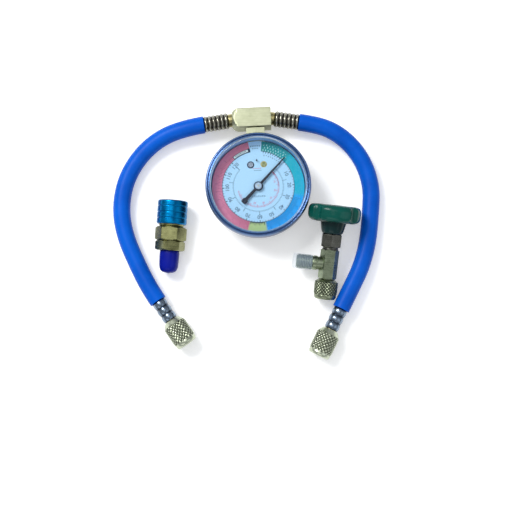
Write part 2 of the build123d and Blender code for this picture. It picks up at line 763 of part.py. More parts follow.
def tap_body():
    """Hexagon valve body with the spigot for its nut and a side port."""
    body = hex_bar(TAP_BODY_FLATS, TAP_BODY_START, TAP_BODY_END, 0.8, 30)
    body += rod(NUT_NECK_R - SLIDE, TAP_SPIGOT_END, TAP_BODY_START + 0.1)
    body += rod(5.6, TAP_BODY_END - 0.1, BONNET_START)
    port = Location(Plane(origin=(0, 0, PORT_S), x_dir=(0, 1, 0), z_dir=(-1, 0, 0)))
    body += port * lathe(
        (0, 0), (5.0, 0), (5.0, PORT_CAP_START), (MALE_THREAD_R, PORT_CAP_START + 0.1),
        (MALE_THREAD_R, PORT_END - 1.4), (4.1, PORT_END), (0, PORT_END),
    )
    body -= tube(NUT_NECK_R, 3.2, 9.8, 10.9)
    body -= rod(FLOW_R, TAP_SPIGOT_END, TAP_SEAT)
    body -= lathe((0, TAP_SEAT), (FLOW_R, TAP_SEAT), (TAP_BORE_R, TAP_SEAT + 2.7),
                  (TAP_BORE_R, BONNET_START), (0, BONNET_START))
    body -= port * rod(FLOW_R, 0, 14)
    body -= port * rod(2.3, 14, PORT_END)
    return TAP * body


def tap_bonnet():
    """Packing nut that guides the spindle."""
    nut = hex_bar(BONNET_FLATS, BONNET_START, BONNET_END, 0.9, 0)
    nut += rod(TAP_BORE_R, TAP_BODY_END - 4, BONNET_START)
    nut -= rod(SPINDLE_R + RUN, TAP_BODY_END - 5, BONNET_END)
    return TAP * nut


def tap_needle():
    """Pointed valve head that the spindle pushes into the seat."""
    return TAP * lathe(
        (0, TAP_SEAT - 0.8), (0.64, TAP_SEAT - 0.8), (3.3, TAP_SEAT + 1.86), (3.3, TAP_SEAT + 5.0),
        (1.2, TAP_SEAT + 5.0), (1.2, TAP_SEAT + 6.8), (0, TAP_SEAT + 6.8),
    )


def tap_spindle():
    """Screwed spindle, hollow below to hold the neck of the valve head."""
    low = TAP_SEAT + 5.1
    spindle = rod(SPINDLE_R, low, KNOB_START + KNOB_HUB_L + KNOB_T - KNOB_FLOOR)
    spindle -= rod(1.2 + RUN, low, TAP_SEAT + 7.0)
    spindle -= rod(1.2, KNOB_START + KNOB_HUB_L + 2, KNOB_START + KNOB_HUB_L + KNOB_T)
    groove_r = TAP_BORE_R - RUN - 2 * ORING_WIRE_R - 0.02
    groove_half = ORING_WIRE_R + RUN
    spindle -= tube(SPINDLE_R + 1, groove_r, ORING_S - groove_half, ORING_S + groove_half)
    return TAP * spindle


def tap_oring():
    """Seal ring in the groove of the spindle."""
    middle = TAP_BORE_R - RUN - ORING_WIRE_R
    ring = Location(Plane(origin=(middle, 0, ORING_S), x_dir=(1, 0, 0), z_dir=(0, -1, 0))) * Circle(ORING_WIRE_R)
    return TAP * revolve(ring, Axis.Z)


def knob_outline(radius):
    """Four broad lobes with a narrow scallop between each two."""
    face = Circle(radius)
    for i in range(4):
        face -= Rot(0, 0, 45 + 90 * i) * Pos(radius + 3.4, 0) * Circle(5.6)
    return face


def tap_knob():
    """Four-lobed handwheel with its tapered hub."""
    low = KNOB_START + KNOB_HUB_L
    high = low + KNOB_T
    wheel = Pos(0, 0, low) * extrude(knob_outline(KNOB_R), KNOB_T)
    turned = lathe(
        (0, low), (KNOB_R - 4.2, low), (KNOB_R, low + 3.4), (KNOB_R, high - 2.6),
        (KNOB_R - 3.2, high), (0, high),
    )
    wheel = wheel & turned
    hub = lathe((0, KNOB_START), (7.6, KNOB_START), (8.2, KNOB_START + 0.8), (10.1, low + 0.1), (0, low + 0.1))
    knob = wheel + hub
    knob -= rod(SPINDLE_R, KNOB_START, high - KNOB_FLOOR)
    knob -= rod(1.2, high - 2.6, high - 1.6)
    knob -= lathe((0, high - 1.6), (4.4, high - 1.6), (4.4, high), (0, high))
    return TAP * knob


def tap_knob_screw():
    seat = KNOB_START + KNOB_HUB_L + KNOB_T - KNOB_RECESS
    return TAP * cheese_screw(1.2, 2.6, seat - 8, seat, 1.3, (0, 0))


def tap_nut_ring():
    """Open wire ring that keeps the nut on its spigot."""
    ring = tube(FLANGE_OUT_R, 3.2, 9.9, 10.8)
    return TAP * (ring - Pos(4, 0, 10.35) * Box(3, 1.6, 2))


def tap_gasket():
    """Soft washer pushed over the end of the spigot."""
    return TAP * tube(FLANGE_OUT_R, FLOW_R, TAP_SPIGOT_END - 1.4, TAP_SPIGOT_END)


def tap_core_pin():
    place = TAP * Pos(0, 0, TAP_SPIGOT_END + 1.1) * Rot(180, 0, 0)
    return core_pin(place, 0, 2.8)


def tap_port_core():
    """Valve core screwed into the side port."""
    port = Location(Plane(origin=(0, 0, PORT_S), x_dir=(0, 1, 0), z_dir=(-1, 0, 0)))
    core = rod(2.3, 14.2, 19.0) + rod(1.3, 18.9, 21.8) + rod(0.6, 21.7, 24.0)
    return TAP * port * core


def tap_port_cap():
    """Clear push-on cap over the side port."""
    port = Location(Plane(origin=(0, 0, PORT_S), x_dir=(0, 1, 0), z_dir=(-1, 0, 0)))
    low = PORT_CAP_START + 0.15
    high = low + PORT_CAP_L
    bore = MALE_THREAD_R + RUN
    cap = lathe(
        (bore, low), (PORT_CAP_R, low), (PORT_CAP_R, high - 1.0), (PORT_CAP_R - 1.0, high),
        (0, high), (0, PORT_END + 0.3), (4.6, PORT_END + 0.3), (bore, PORT_END - 0.7),
    )
    return TAP * port * cap


# Quick coupler

COUPLER = frame(COUPLER_MOUTH, 270 - COUPLER_TURN, -COUPLER_DIP)


def ball_places():
    places = []
    for i in range(BALL_COUNT):
        places.append(Rot(0, 0, 60 * i) * Pos(SOCKET_R - 0.25 + BALL_R, 0, BALL_S))
    return places


def coupler_body():
    """Brass socket with ball holes, ring groove, seal groove and hexagon."""
    core = lathe(
        (SOCKET_R + 0.6, 1.0), (LAND_R - 0.4, 1.0), (LAND_R, 1.4), (LAND_R, RETAINER_S - 0.4), (RETAINER_GROOVE_R, RETAINER_S - 0.4),
        (RETAINER_GROOVE_R, RETAINER_S + 0.4), (LAND_R, RETAINER_S + 0.4), (LAND_R, SHOULDER_S), (9.8, SHOULDER_S), (9.8, 18.9), (8.9, HEX1_START + 0.1),
        (4.0, HEX1_START + 0.1), (4.0, 15.0), (2.0, 15.0), (2.0, 13.0), (SOCKET_R, 13.0),
        (SOCKET_R, 11.0), (7.85, 11.0), (7.85, 9.2), (SOCKET_R, 9.2), (SOCKET_R, 1.6),
    )
    hexagon = hex_bar(HEX1_FLATS, HEX1_START, HEX1_END, 1.2, 30)
    hexagon -= rod(4.0, HEX1_START, ADAPTER_SPIGOT_S)
    hexagon -= rod(6.0, ADAPTER_SPIGOT_S, HEX1_END)
    body = core + hexagon
    for place in ball_places():
        hole = rod(BALL_R + 0.04, 0, 4.0)
        body -= place * Rot(0, 90, 0) * Pos(0, 0, -2.0) * hole
    return COUPLER * body


def coupler_balls():
    return COUPLER * group([place * Sphere(BALL_R) for place in ball_places()])


def coupler_sleeve():
    """Sliding sleeve: release recess, ball land and spring pocket."""
    land = LAND_R + 0.08
    wide = 9.9
    corners = [
        (wide, SLEEVE_START), (SLEEVE_R - 0.8, SLEEVE_START), (SLEEVE_R, SLEEVE_START + 0.8)
    ]
    for i in range(3):
        s = 4.2 + 4.6 * i
        corners += [(SLEEVE_R, s), (SLEEVE_R - 0.4, s + 0.4), (SLEEVE_R - 0.4, s + 1.2), (SLEEVE_R, s + 1.6)]
    corners += [
        (SLEEVE_R, SLEEVE_END - 0.6), (SLEEVE_R - 0.6, SLEEVE_END), (wide, SLEEVE_END),
        (wide, LAND_END), (land, LAND_END), (land, LAND_START), (wide, LAND_START),
    ]
    return COUPLER * lathe(*corners)


def coil_spring(radius, wire, low, high, turns):
    """Round-wire spring between two heights."""
    line = Helix(pitch=(high - low - wire * 2) / turns, height=high - low - wire * 2, radius=radius)
    ring = Plane(origin=line @ 0, z_dir=line % 0) * RegularPolygon(wire, 6)
    return Pos(0, 0, low + wire) * sweep(ring, path=line, is_frenet=True)


def coupler_sleeve_spring():
    return COUPLER * coil_spring(SLEEVE_SPRING_R, SPRING_WIRE_R, LAND_END + 0.05, SHOULDER_S - 0.05, 4)


def coupler_retaining_ring():
    ring = tube(RETAINER_R, RETAINER_GROOVE_R, RETAINER_S - RETAINER_T / 2, RETAINER_S + RETAINER_T / 2)
    return COUPLER * (ring - Pos(LAND_R, 0, RETAINER_S) * Box(3, 2.0, 2))


def coupler_oring():
    ring = Location(Plane(origin=(7.05, 0, 10.1), x_dir=(1, 0, 0), z_dir=(0, -1, 0))) * Circle(0.8)
    return COUPLER * revolve(ring, Axis.Z)


def coupler_plunger():
    """Spring-loaded pin that opens the valve of the port it is pushed onto."""
    return COUPLER * lathe(
        (0, 9.6), (1.3, 9.6), (1.9, 10.4), (1.9, 15.1), (3.5, 15.1), (3.5, PLUNGER_HEAD_END),
        (1.4, PLUNGER_HEAD_END), (1.4, PLUNGER_HEAD_END + 2.0), (0, PLUNGER_HEAD_END + 2.0),
    )


def coupler_plunger_spring():
    return COUPLER * coil_spring(2.7, 0.36, PLUNGER_HEAD_END + 0.05, ADAPTER_SPIGOT_S - 0.1, 4)


def coupler_adapter():
    """Second hexagon with the capped flare port."""
    part = hex_bar(HEX2_FLATS, HEX2_START, HEX2_END, 1.2, 18)
    part += rod(6.0, ADAPTER_SPIGOT_S, HEX2_START + 0.1)
    port_high = HEX2_END + COUPLER_PORT_L
    part += lathe(
        (0, HEX2_END - 0.1), (MALE_THREAD_R, HEX2_END - 0.1), (MALE_THREAD_R, port_high - 1.4),
        (4.1, port_high), (0, port_high),
    )
    part -= rod(1.8, ADAPTER_SPIGOT_S, port_high)
    return COUPLER * part


def coupler_port_cap():
    """Domed push-on cap with a small nub."""
    low = HEX2_END + 0.1
    bore = MALE_THREAD_R + RUN
    port_high = HEX2_END + COUPLER_PORT_L
    high = HEX2_END + CAP_L
    cap = lathe(
        (bore, low), (CAP_R, low), (CAP_R, high - 4.2), (CAP_R - 0.9, high - 2.0),
        (CAP_R - 3.0, high - 0.8), (1.2, high - 0.5), (1.0, high), (0, high),
        (0, port_high + 0.5), (4.6, port_high + 0.5), (bore, port_high - 0.7),
    )
    return COUPLER * cap


row_parts = {
    "gauge_case": gauge_case(),
    "bezel_ring": bezel_ring(),
    "lens_gasket": lens_gasket(),
    "lens": lens(),
    "gauge_socket": gauge_socket(),
    "bourdon_tube": bourdon_tube(),
    "tube_tip": tube_tip(),
    "tube_link": link(),
    "link_pins": link_pins(),
    "pinion_arbor": pinion_arbor(),
    "sector_gear": sector_gear(),
    "sector_arbor": sector_arbor(),
    "movement_base_plate": movement_base_plate(),
    "movement_top_plate": movement_top_plate(),
    "movement_pillars": movement_pillars(),
    "movement_screws": movement_screws(),
    "hairspring": hairspring(),
    "dial_plate": dial_plate(),
    "dial_screws": dial_screws(),
    "stop_pin": stop_pin(),
    "pointer": pointer(),
    "pointer_hub": pointer_hub(),
}
for part_name, solid in row_parts.items():
    save(part_name, ROW * solid)

save("tee_block", tee_block())
save("tee_ferrule_left", tee_ferrule(TEE_LEFT_FRAME))
save("tee_ferrule_right", tee_ferrule(TEE_RIGHT_FRAME))

hose_sides = {
    "left": (TEE_LEFT_FRAME, LEFT_ROUTE, LEFT_FRAME, LEFT_RUNS),
    "right": (TEE_RIGHT_FRAME, RIGHT_ROUTE, RIGHT_FRAME, RIGHT_RUNS),
}
for side_name, (tee_place, side_route, end_place, side_runs) in hose_sides.items():
    hose_name = f"hose_{side_name}"
    save(hose_name, hose(hose_name, tee_place, side_route, end_place, side_runs))
    save(f"end_ferrule_{side_name}", end_ferrule(end_place))
    save(f"hose_stem_{side_name}", hose_stem(end_place))
    save(f"hose_nut_{side_name}", swivel_nut(end_place, NUT_START, NUT_L, THREAD_L, NUT_CONE, NUT_BACK))
    save(f"nut_gasket_{side_name}", nut_gasket(end_place))
    pin_start = NUT_START + NUT_BACK + 0.3 + 2.6
    save(f"core_pin_{side_name}", core_pin(end_place, pin_start, 4.8))

save("tap_body", tap_body())
save("tap_bonnet", tap_bonnet())
save("tap_needle", tap_needle())
save("tap_spindle", tap_spindle())
save("tap_oring", tap_oring())
save("tap_knob", tap_knob())
save("tap_knob_screw", tap_knob_screw())
tap_nut_place = TAP * Pos(0, 0, TAP_NUT_L) * Rot(180, 0, 0)
save("tap_nut", swivel_nut(tap_nut_place, 0, TAP_NUT_L, TAP_THREAD_L, TAP_NUT_CONE, TAP_NUT_BACK))
save("tap_nut_ring", tap_nut_ring())
save("tap_gasket", tap_gasket())
save("tap_core_pin", tap_core_pin())
save("tap_port_core", tap_port_core())
save("tap_port_cap", tap_port_cap())

save("coupler_body", coupler_body())
save("coupler_balls", coupler_balls())
save("coupler_sleeve", coupler_sleeve())
save("coupler_sleeve_spring", coupler_sleeve_spring())
save("coupler_retaining_ring", coupler_retaining_ring())
save("coupler_oring", coupler_oring())
save("coupler_plunger", coupler_plunger())
save("coupler_plunger_spring", coupler_plunger_spring())
save("coupler_adapter", coupler_adapter())
save("coupler_port_cap", coupler_port_cap())
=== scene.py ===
"""Looks of a refrigerant charging hose set: gauge on a tee, two hoses, can tap and quick coupler."""

import json
import math

import bmesh
import bpy
from mathutils import Matrix, Vector
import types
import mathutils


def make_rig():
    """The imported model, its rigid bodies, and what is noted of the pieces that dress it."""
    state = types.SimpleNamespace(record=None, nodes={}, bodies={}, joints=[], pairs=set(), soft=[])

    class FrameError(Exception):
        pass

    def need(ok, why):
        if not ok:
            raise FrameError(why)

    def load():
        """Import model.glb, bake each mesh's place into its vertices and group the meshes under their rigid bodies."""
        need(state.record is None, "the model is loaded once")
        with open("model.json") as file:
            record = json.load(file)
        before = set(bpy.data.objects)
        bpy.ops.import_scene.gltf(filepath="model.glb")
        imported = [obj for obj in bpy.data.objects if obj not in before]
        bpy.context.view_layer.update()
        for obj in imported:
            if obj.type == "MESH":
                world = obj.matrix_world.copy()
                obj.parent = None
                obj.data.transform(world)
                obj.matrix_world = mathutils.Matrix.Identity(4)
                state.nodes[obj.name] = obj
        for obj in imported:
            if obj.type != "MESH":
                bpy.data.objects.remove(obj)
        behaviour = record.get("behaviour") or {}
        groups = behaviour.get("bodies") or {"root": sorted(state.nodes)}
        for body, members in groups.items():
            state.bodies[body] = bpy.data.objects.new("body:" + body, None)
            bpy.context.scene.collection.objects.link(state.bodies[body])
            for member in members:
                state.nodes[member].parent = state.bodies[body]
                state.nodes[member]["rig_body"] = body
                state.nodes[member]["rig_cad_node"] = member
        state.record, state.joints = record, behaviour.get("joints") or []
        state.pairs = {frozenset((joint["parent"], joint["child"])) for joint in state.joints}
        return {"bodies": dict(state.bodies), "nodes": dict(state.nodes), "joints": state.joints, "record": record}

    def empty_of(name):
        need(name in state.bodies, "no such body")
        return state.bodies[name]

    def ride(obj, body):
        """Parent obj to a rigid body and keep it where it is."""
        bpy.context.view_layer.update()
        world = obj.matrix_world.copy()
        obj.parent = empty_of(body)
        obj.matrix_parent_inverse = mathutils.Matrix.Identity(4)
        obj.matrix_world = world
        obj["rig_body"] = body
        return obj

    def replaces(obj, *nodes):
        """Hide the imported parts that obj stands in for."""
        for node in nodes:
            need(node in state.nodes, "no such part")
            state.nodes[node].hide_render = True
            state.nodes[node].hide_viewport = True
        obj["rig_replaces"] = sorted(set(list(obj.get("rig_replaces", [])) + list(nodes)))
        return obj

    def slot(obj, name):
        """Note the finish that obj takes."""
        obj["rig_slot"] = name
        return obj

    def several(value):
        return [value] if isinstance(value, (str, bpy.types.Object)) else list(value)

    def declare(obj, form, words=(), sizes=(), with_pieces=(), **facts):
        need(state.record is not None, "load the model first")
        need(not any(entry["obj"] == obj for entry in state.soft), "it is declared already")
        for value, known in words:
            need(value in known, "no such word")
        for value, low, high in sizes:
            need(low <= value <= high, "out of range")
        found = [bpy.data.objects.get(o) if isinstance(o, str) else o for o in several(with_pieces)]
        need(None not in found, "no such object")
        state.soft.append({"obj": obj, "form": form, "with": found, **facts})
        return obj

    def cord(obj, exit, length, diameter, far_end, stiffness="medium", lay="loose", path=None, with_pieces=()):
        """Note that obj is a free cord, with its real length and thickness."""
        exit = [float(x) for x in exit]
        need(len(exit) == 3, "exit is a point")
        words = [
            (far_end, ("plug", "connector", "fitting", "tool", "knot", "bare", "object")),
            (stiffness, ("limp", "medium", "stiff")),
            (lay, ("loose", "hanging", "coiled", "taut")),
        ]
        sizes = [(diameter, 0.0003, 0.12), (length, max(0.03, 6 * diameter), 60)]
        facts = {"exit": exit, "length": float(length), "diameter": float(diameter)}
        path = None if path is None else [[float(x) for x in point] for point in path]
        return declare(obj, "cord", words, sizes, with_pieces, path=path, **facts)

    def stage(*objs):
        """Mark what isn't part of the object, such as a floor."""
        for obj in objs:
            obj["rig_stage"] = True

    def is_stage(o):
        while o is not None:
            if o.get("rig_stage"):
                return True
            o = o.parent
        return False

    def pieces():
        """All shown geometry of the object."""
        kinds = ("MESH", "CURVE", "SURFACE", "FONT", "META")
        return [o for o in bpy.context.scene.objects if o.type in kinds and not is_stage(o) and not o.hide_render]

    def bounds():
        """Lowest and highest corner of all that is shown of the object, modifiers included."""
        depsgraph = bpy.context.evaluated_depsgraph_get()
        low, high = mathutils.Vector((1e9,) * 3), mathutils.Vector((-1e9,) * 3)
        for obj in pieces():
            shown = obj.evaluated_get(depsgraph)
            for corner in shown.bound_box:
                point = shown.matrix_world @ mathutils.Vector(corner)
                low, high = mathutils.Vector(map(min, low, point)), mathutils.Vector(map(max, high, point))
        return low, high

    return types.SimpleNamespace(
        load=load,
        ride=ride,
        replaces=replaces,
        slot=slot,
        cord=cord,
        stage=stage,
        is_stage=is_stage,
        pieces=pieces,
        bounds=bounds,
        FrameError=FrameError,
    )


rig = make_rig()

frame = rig.load()
cad_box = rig.bounds()

# Shapes are drawn in millimetres and scaled to metres when their mesh is made
MM = 0.001


def add_object(name, data):
    """New object in the scene around this data."""
    made = bpy.data.objects.new(name, data)
    bpy.context.scene.collection.objects.link(made)
    return made


# Camera, about 0.65 m above the table

CAMERA_PLACE = Vector((0.00127, -0.12211, 0.64644))
CAMERA_TARGET = Vector((0.00127, -0.05417, 0.0))

camera_data = bpy.data.cameras.new("camera")
camera_data.lens = 58.05
camera_data.sensor_width = 36.0
camera = add_object("camera", camera_data)
camera.location = CAMERA_PLACE
camera.rotation_euler = (CAMERA_TARGET - CAMERA_PLACE).to_track_quat("-Z", "Y").to_euler()
bpy.context.scene.camera = camera


# Routes of the two hoses, from the tee to the free end, in metres

HOSE_R = 6.6
LEFT_POINTS = [
    (-0.04205, 0.04999, 0.011),
    (-0.05379, 0.04809, 0.011),
    (-0.0743, 0.0415, 0.0082),
    (-0.0910, 0.0279, 0.0067),
    (-0.1028, 0.0077, 0.0067),
    (-0.1064, -0.0155, 0.0067),
    (-0.1024, -0.0366, 0.0067),
    (-0.0929, -0.0578, 0.0072),
    (-0.0831, -0.07663, 0.00895),
    (-0.0761, -0.08663, 0.00895),
]
RIGHT_POINTS = [
    (0.03142, 0.05202, 0.011),
    (0.04756, 0.04975, 0.011),
    (0.06265, 0.04271, 0.0099),
    (0.07493, 0.03152, 0.0079),
    (0.08342, 0.01725, 0.0068),
    (0.08764, 0.00039, 0.0067),
    (0.08663, -0.0175, 0.0067),
    (0.08417, -0.04159, 0.0067),
    (0.07863, -0.06055, 0.0076),
    (0.07063, -0.07659, 0.00895),
    (0.06278, -0.09234, 0.00895),
]
LEFT_LENGTH = 0.1793
RIGHT_LENGTH = 0.1805


def hose_curve(name, points):
    """One smooth spline with the route points as its control points."""
    curve = bpy.data.curves.new(name, "CURVE")
    curve.dimensions = "3D"
    spline = curve.splines.new("NURBS")
    spline.points.add(len(points) - 1)
    for control, point in zip(spline.points, points):
        control.co = (*point, 1.0)
    spline.order_u = 3
    spline.use_endpoint_u = True
    curve.resolution_u = 14
    curve.bevel_depth = HOSE_R * MM
    curve.bevel_resolution = 14
    curve.use_fill_caps = True
    return add_object(name, curve)


rubber_left = hose_curve("rubber_left", LEFT_POINTS)
rubber_right = hose_curve("rubber_right", RIGHT_POINTS)


# Places

def place(origin, heading, rise=0.0):
    """Matrix in millimetres whose Z runs along a heading in plan, raised by rise."""
    turn = math.radians(heading)
    flat = math.cos(math.radians(rise))
    along = Vector((math.cos(turn) * flat, math.sin(turn) * flat, math.sin(math.radians(rise))))
    side = Vector((math.sin(turn), -math.cos(turn), 0.0))
    matrix = Matrix((side, along.cross(side), along)).transposed().to_4x4()
    matrix.translation = Vector(origin)
    return matrix


def shift(x, y, z):
    """Matrix that moves by this much."""
    return Matrix.Translation((x, y, z))


# The gauge and tee lie turned by 3 degrees. The tee's ends are given along its own axis
ROW = Matrix.Rotation(math.radians(3.0), 4, "Z")
TEE_Y = 54.5
TEE_Z = 11.0
TEE_END_LEFT = -17.5
TEE_END_RIGHT = 12.5
TEE_LEFT = ROW @ place((TEE_END_LEFT, TEE_Y, TEE_Z), 186.2)
TEE_RIGHT = ROW @ place((TEE_END_RIGHT, TEE_Y, TEE_Z), -11.0)
TEE_AXIS = ROW @ Matrix(((0, 0, 1, 0), (1, 0, 0, TEE_Y), (0, 1, 0, TEE_Z), (0, 0, 0, 1)))
LEFT_END = place((-76.099, -86.625, 8.95), -55.0)
RIGHT_END = place((62.780, -92.340, 8.95), 243.5)
TAP = place((50.4, -84.6, 8.2), 83.6, 10.67)
COUPLER = place((-65.2, -9.4, 12.75), 266.2, -4.4)
SIDE_PORT_UP = 26.5
SIDE_PORT = TAP @ Matrix(((0, 0, -1, 0), (1, 0, 0, 0), (0, -1, 0, SIDE_PORT_UP), (0, 0, 0, 1)))


# Mesh makers

def finish_mesh(name, mesh, at, sharp=35.0):
    """Object from a closed mesh in millimetres, placed and smoothed. It keeps its own coordinates."""
    cleaner = bmesh.new()
    cleaner.from_mesh(mesh)
    bmesh.ops.recalc_face_normals(cleaner, faces=cleaner.faces)
    cleaner.to_mesh(mesh)
    cleaner.free()
    mesh.transform(Matrix.Scale(MM, 4))
    own = mesh.attributes.new("own_place", "FLOAT_VECTOR", "POINT")
    own.data.foreach_set("vector", [number for vertex in mesh.vertices for number in vertex.co])
    moved = at.copy()
    moved.translation = at.translation * MM
    mesh.transform(moved)
    mesh.shade_smooth()
    mesh.set_sharp_from_angle(angle=math.radians(sharp))
    piece = add_object(name, mesh)
    weighted = piece.modifiers.new("normals", "WEIGHTED_NORMAL")
    weighted.keep_sharp = True
    return piece


def even_angles(count):
    return [2 * math.pi * i / count for i in range(count)]


def skin(name, rings, at, angles=96, loop=False, sharp=35.0):
    """Closed skin over rings about Z.

    A ring is (height, radius) or (height, radius, groove). The radius is a number or a
    function of the angle, and groove marks how deep in a groove the ring's points lie.
    """
    turns = even_angles(angles) if isinstance(angles, int) else angles
    vertices = []
    marks = []
    rows = []
    for ring in rings:
        height, radius = ring[0], ring[1]
        groove = ring[2] if len(ring) > 2 else 0.0
        if not callable(radius) and radius <= 0.0:
            rows.append([len(vertices)])
            vertices.append((0.0, 0.0, height))
            marks.append(0.0)
            continue
        row = []
        for turn in turns:
            r = radius(turn) if callable(radius) else radius
            row.append(len(vertices))
            vertices.append((r * math.cos(turn), r * math.sin(turn), height))
            marks.append(groove(turn) if callable(groove) else groove)
        rows.append(row)
    faces = []
    pairs = list(zip(rows, rows[1:]))
    if loop:
        pairs.append((rows[-1], rows[0]))
    count = len(turns)
    for low, high in pairs:
        if len(low) == 1 and len(high) == 1:
            continue
        for i in range(count):
            j = (i + 1) % count
            if len(low) == 1:
                faces.append((low[0], high[j], high[i]))
            elif len(high) == 1:
                faces.append((low[i], low[j], high[0]))
            else:
                faces.append((low[i], low[j], high[j], high[i]))
    mesh = bpy.data.meshes.new(name)
    mesh.from_pydata(vertices, [], faces)
    # The groove mark sets where the metals paint shade in grooves and bores.
    groove_mark = mesh.attributes.new("groove", "FLOAT", "POINT")
    groove_mark.data.foreach_set("value", marks)
    return finish_mesh(name, mesh, at, sharp)


def soften(outline, size, steps=3, closed=True):
    """Rounds the corners of a (radius, height) outline. A third number sets a corner's own size."""
    made = []
    count = len(outline)
    for i, corner in enumerate(outline):
        here = Vector(corner[:2])
        if here.x <= 0.0 or (not closed and i in (0, count - 1)):
            made.append(tuple(here))
            continue
        before = Vector(outline[i - 1][:2]) - here
        after = Vector(outline[(i + 1) % count][:2]) - here
        own = corner[2] if len(corner) > 2 else size
        cut = min(own, 0.45 * before.length, 0.45 * after.length)
        if cut < 1e-4:
            made.append(tuple(here))
            continue
        start = here + before.normalized() * cut
        end = here + after.normalized() * cut
        for step in range(steps + 1):
            t = step / steps
            made.append(tuple((1 - t) ** 2 * start + 2 * t * (1 - t) * here + t * t * end))
    return made


def lathe(name, outline, at, size=0.25, angles=96, closed=True, sharp=50.0):
    """Turned piece from a (radius, height) outline. An open outline ends on the axis."""
    rings = [(height, radius) for radius, height in soften(outline, size, closed=closed)]
    return skin(name, rings, at, angles, loop=closed, sharp=sharp)


def triangle_wave(x):
    """0 at whole numbers and 1 halfway between."""
    return 1.0 - abs(2.0 * (x - math.floor(x)) - 1.0)


def polygon_angles(sides, turn, corner=0.035, between=5):
    """Angles for a bar of flat sides, with each edge rounded a little."""
    angles = []
    step = 2 * math.pi / sides
    for i in range(sides):
        start = math.radians(turn) + step * i - step / 2 + corner
        span = step - 2 * corner
        angles += [start + span * k / between for k in range(between + 1)]
        angles.append(start + span + corner)
    return angles


def polygon_radius(sides, flats, turn, corner=0.035):
    """Radius of such a bar at each angle."""
    step = 2 * math.pi / sides

    def radius(angle):
        local = (angle - math.radians(turn) + step / 2) % step - step / 2
        limit = step / 2 - corner
        if abs(local) > limit:
            edge = flats / 2 / math.cos(limit)
            flat = flats / 2 / math.cos(step / 2)
            share = (abs(local) - limit) / corner
            return edge + (flat - edge) * share * 0.35
        return flats / 2 / math.cos(local)

    return radius


def hex_bar(name, flats, low, high, bevel, turn, at, bore=0.0, size=0.18):
    """Hexagon bar whose ends are turned to a bevel, with a bore or closed."""
    shape = polygon_radius(6, flats, turn)
    corner = flats / 2 / math.cos(math.pi / 6)
    rings = []

    def ring(height, limit):
        rings.append((height, lambda angle, limit=limit: min(shape(angle), limit)))

    steps = 8
    drop = bevel * 0.62
    rings.append((low, max(bore, 0.0)))
    rings.append((low, corner - bevel - size))
    for i in range(steps + 1):
        ring(low + size * 0.3 + drop * i / steps, corner - bevel + bevel * i / steps)
    ring(low + drop + size * 2, corner + 1)
    ring((low + high) / 2, corner + 1)
    ring(high - drop - size * 2, corner + 1)
    for i in range(steps + 1):
        ring(high - drop + drop * i / steps - size * 0.3, corner - bevel * i / steps)
    rings.append((high, corner - bevel - size))
    rings.append((high, max(bore, 0.0)))
    return skin(name, rings, at, polygon_angles(6, turn), loop=bore > 0, sharp=28.0)


# Flat marks and plates. The dial's face is at DIAL_TOP, and its print stands PRINT above it

DIAL_TOP = 18.7
PRINT = 0.03


def plate(outline, low, high):
    """Vertices and faces of a flat plate with this outline."""
    count = len(outline)
    corners = [(x, y, z) for z in (low, high) for x, y in outline]
    faces = [tuple(reversed(range(count))), tuple(range(count, 2 * count))]
    faces += [(i, (i + 1) % count, count + (i + 1) % count, count + i) for i in range(count)]
    return corners, faces


def dash(left, right, low, high, level=DIAL_TOP):
    """A small printed bar with its sides along the dial's X and Y."""
    corners = [(x, y, z) for x in (left, right) for y in (low, high) for z in (level, level + PRINT)]
    return corners, [(0, 1, 3, 2), (4, 6, 7, 5), (0, 4, 5, 1), (2, 3, 7, 6), (0, 2, 6, 4), (1, 5, 7, 3)]


def tick(angle, radius_in, radius_out, width, level=DIAL_TOP, thick=PRINT):
    """A short radial line, width in millimetres."""
    turn = math.radians(angle)
    along = Vector((math.sin(turn), math.cos(turn)))
    side = Vector((along.y, -along.x)) * width / 2
    corners = []
    for radius in (radius_in, radius_out):
        for sign in (-1, 1):
            spot = along * radius + side * sign
            corners.append((spot.x, spot.y, level))
            corners.append((spot.x, spot.y, level + thick))
    faces = [(1, 3, 7, 5), (0, 4, 6, 2), (0, 1, 5, 4), (2, 6, 7, 3), (0, 2, 3, 1), (4, 5, 7, 6)]
    return corners, faces


def ring_mark(radius_in, radius_out, start, end, height=DIAL_TOP, thick=PRINT, steps=12):
    """Vertices and faces of a flat arc, angles in degrees clockwise from +Y."""
    vertices = []
    faces = []
    for i in range(steps + 1):
        turn = math.radians(start + (end - start) * i / steps)
        x, y = math.sin(turn), math.cos(turn)
        for radius in (radius_in, radius_out):
            vertices.append((radius * x, radius * y, height))
            vertices.append((radius * x, radius * y, height + thick))
    for i in range(steps):
        a = 4 * i
        b = a + 4
        faces += [(a + 1, b + 1, b + 3, a + 3), (a, a + 2, b + 2, b)]
        faces += [(a, b, b + 1, a + 1), (a + 2, a + 3, b + 3, b + 2)]
    faces += [(0, 1, 3, 2), (4 * steps, 4 * steps + 2, 4 * steps + 3, 4 * steps + 1)]
    return vertices, faces


def join_marks(name, marks, at):
    """One piece from many small flat marks."""
    vertices = []
    faces = []
    for more_vertices, more_faces in marks:
        first = len(vertices)
        vertices += more_vertices
        faces += [tuple(first + i for i in face) for face in more_faces]
    mesh = bpy.data.meshes.new(name)
    mesh.from_pydata(vertices, [], faces)
    return finish_mesh(name, mesh, at)


# Materials

def new_material(name, **values):
    """Principled material with constants on its own sockets. Returns it with its tree and shader."""
    material = bpy.data.materials.new(name)
    material.use_nodes = True
    tree = material.node_tree
    shader = tree.nodes["Principled BSDF"]
    for socket, value in values.items():
        shader.inputs[socket.replace("_", " ")].default_value = value
    return material, tree, shader


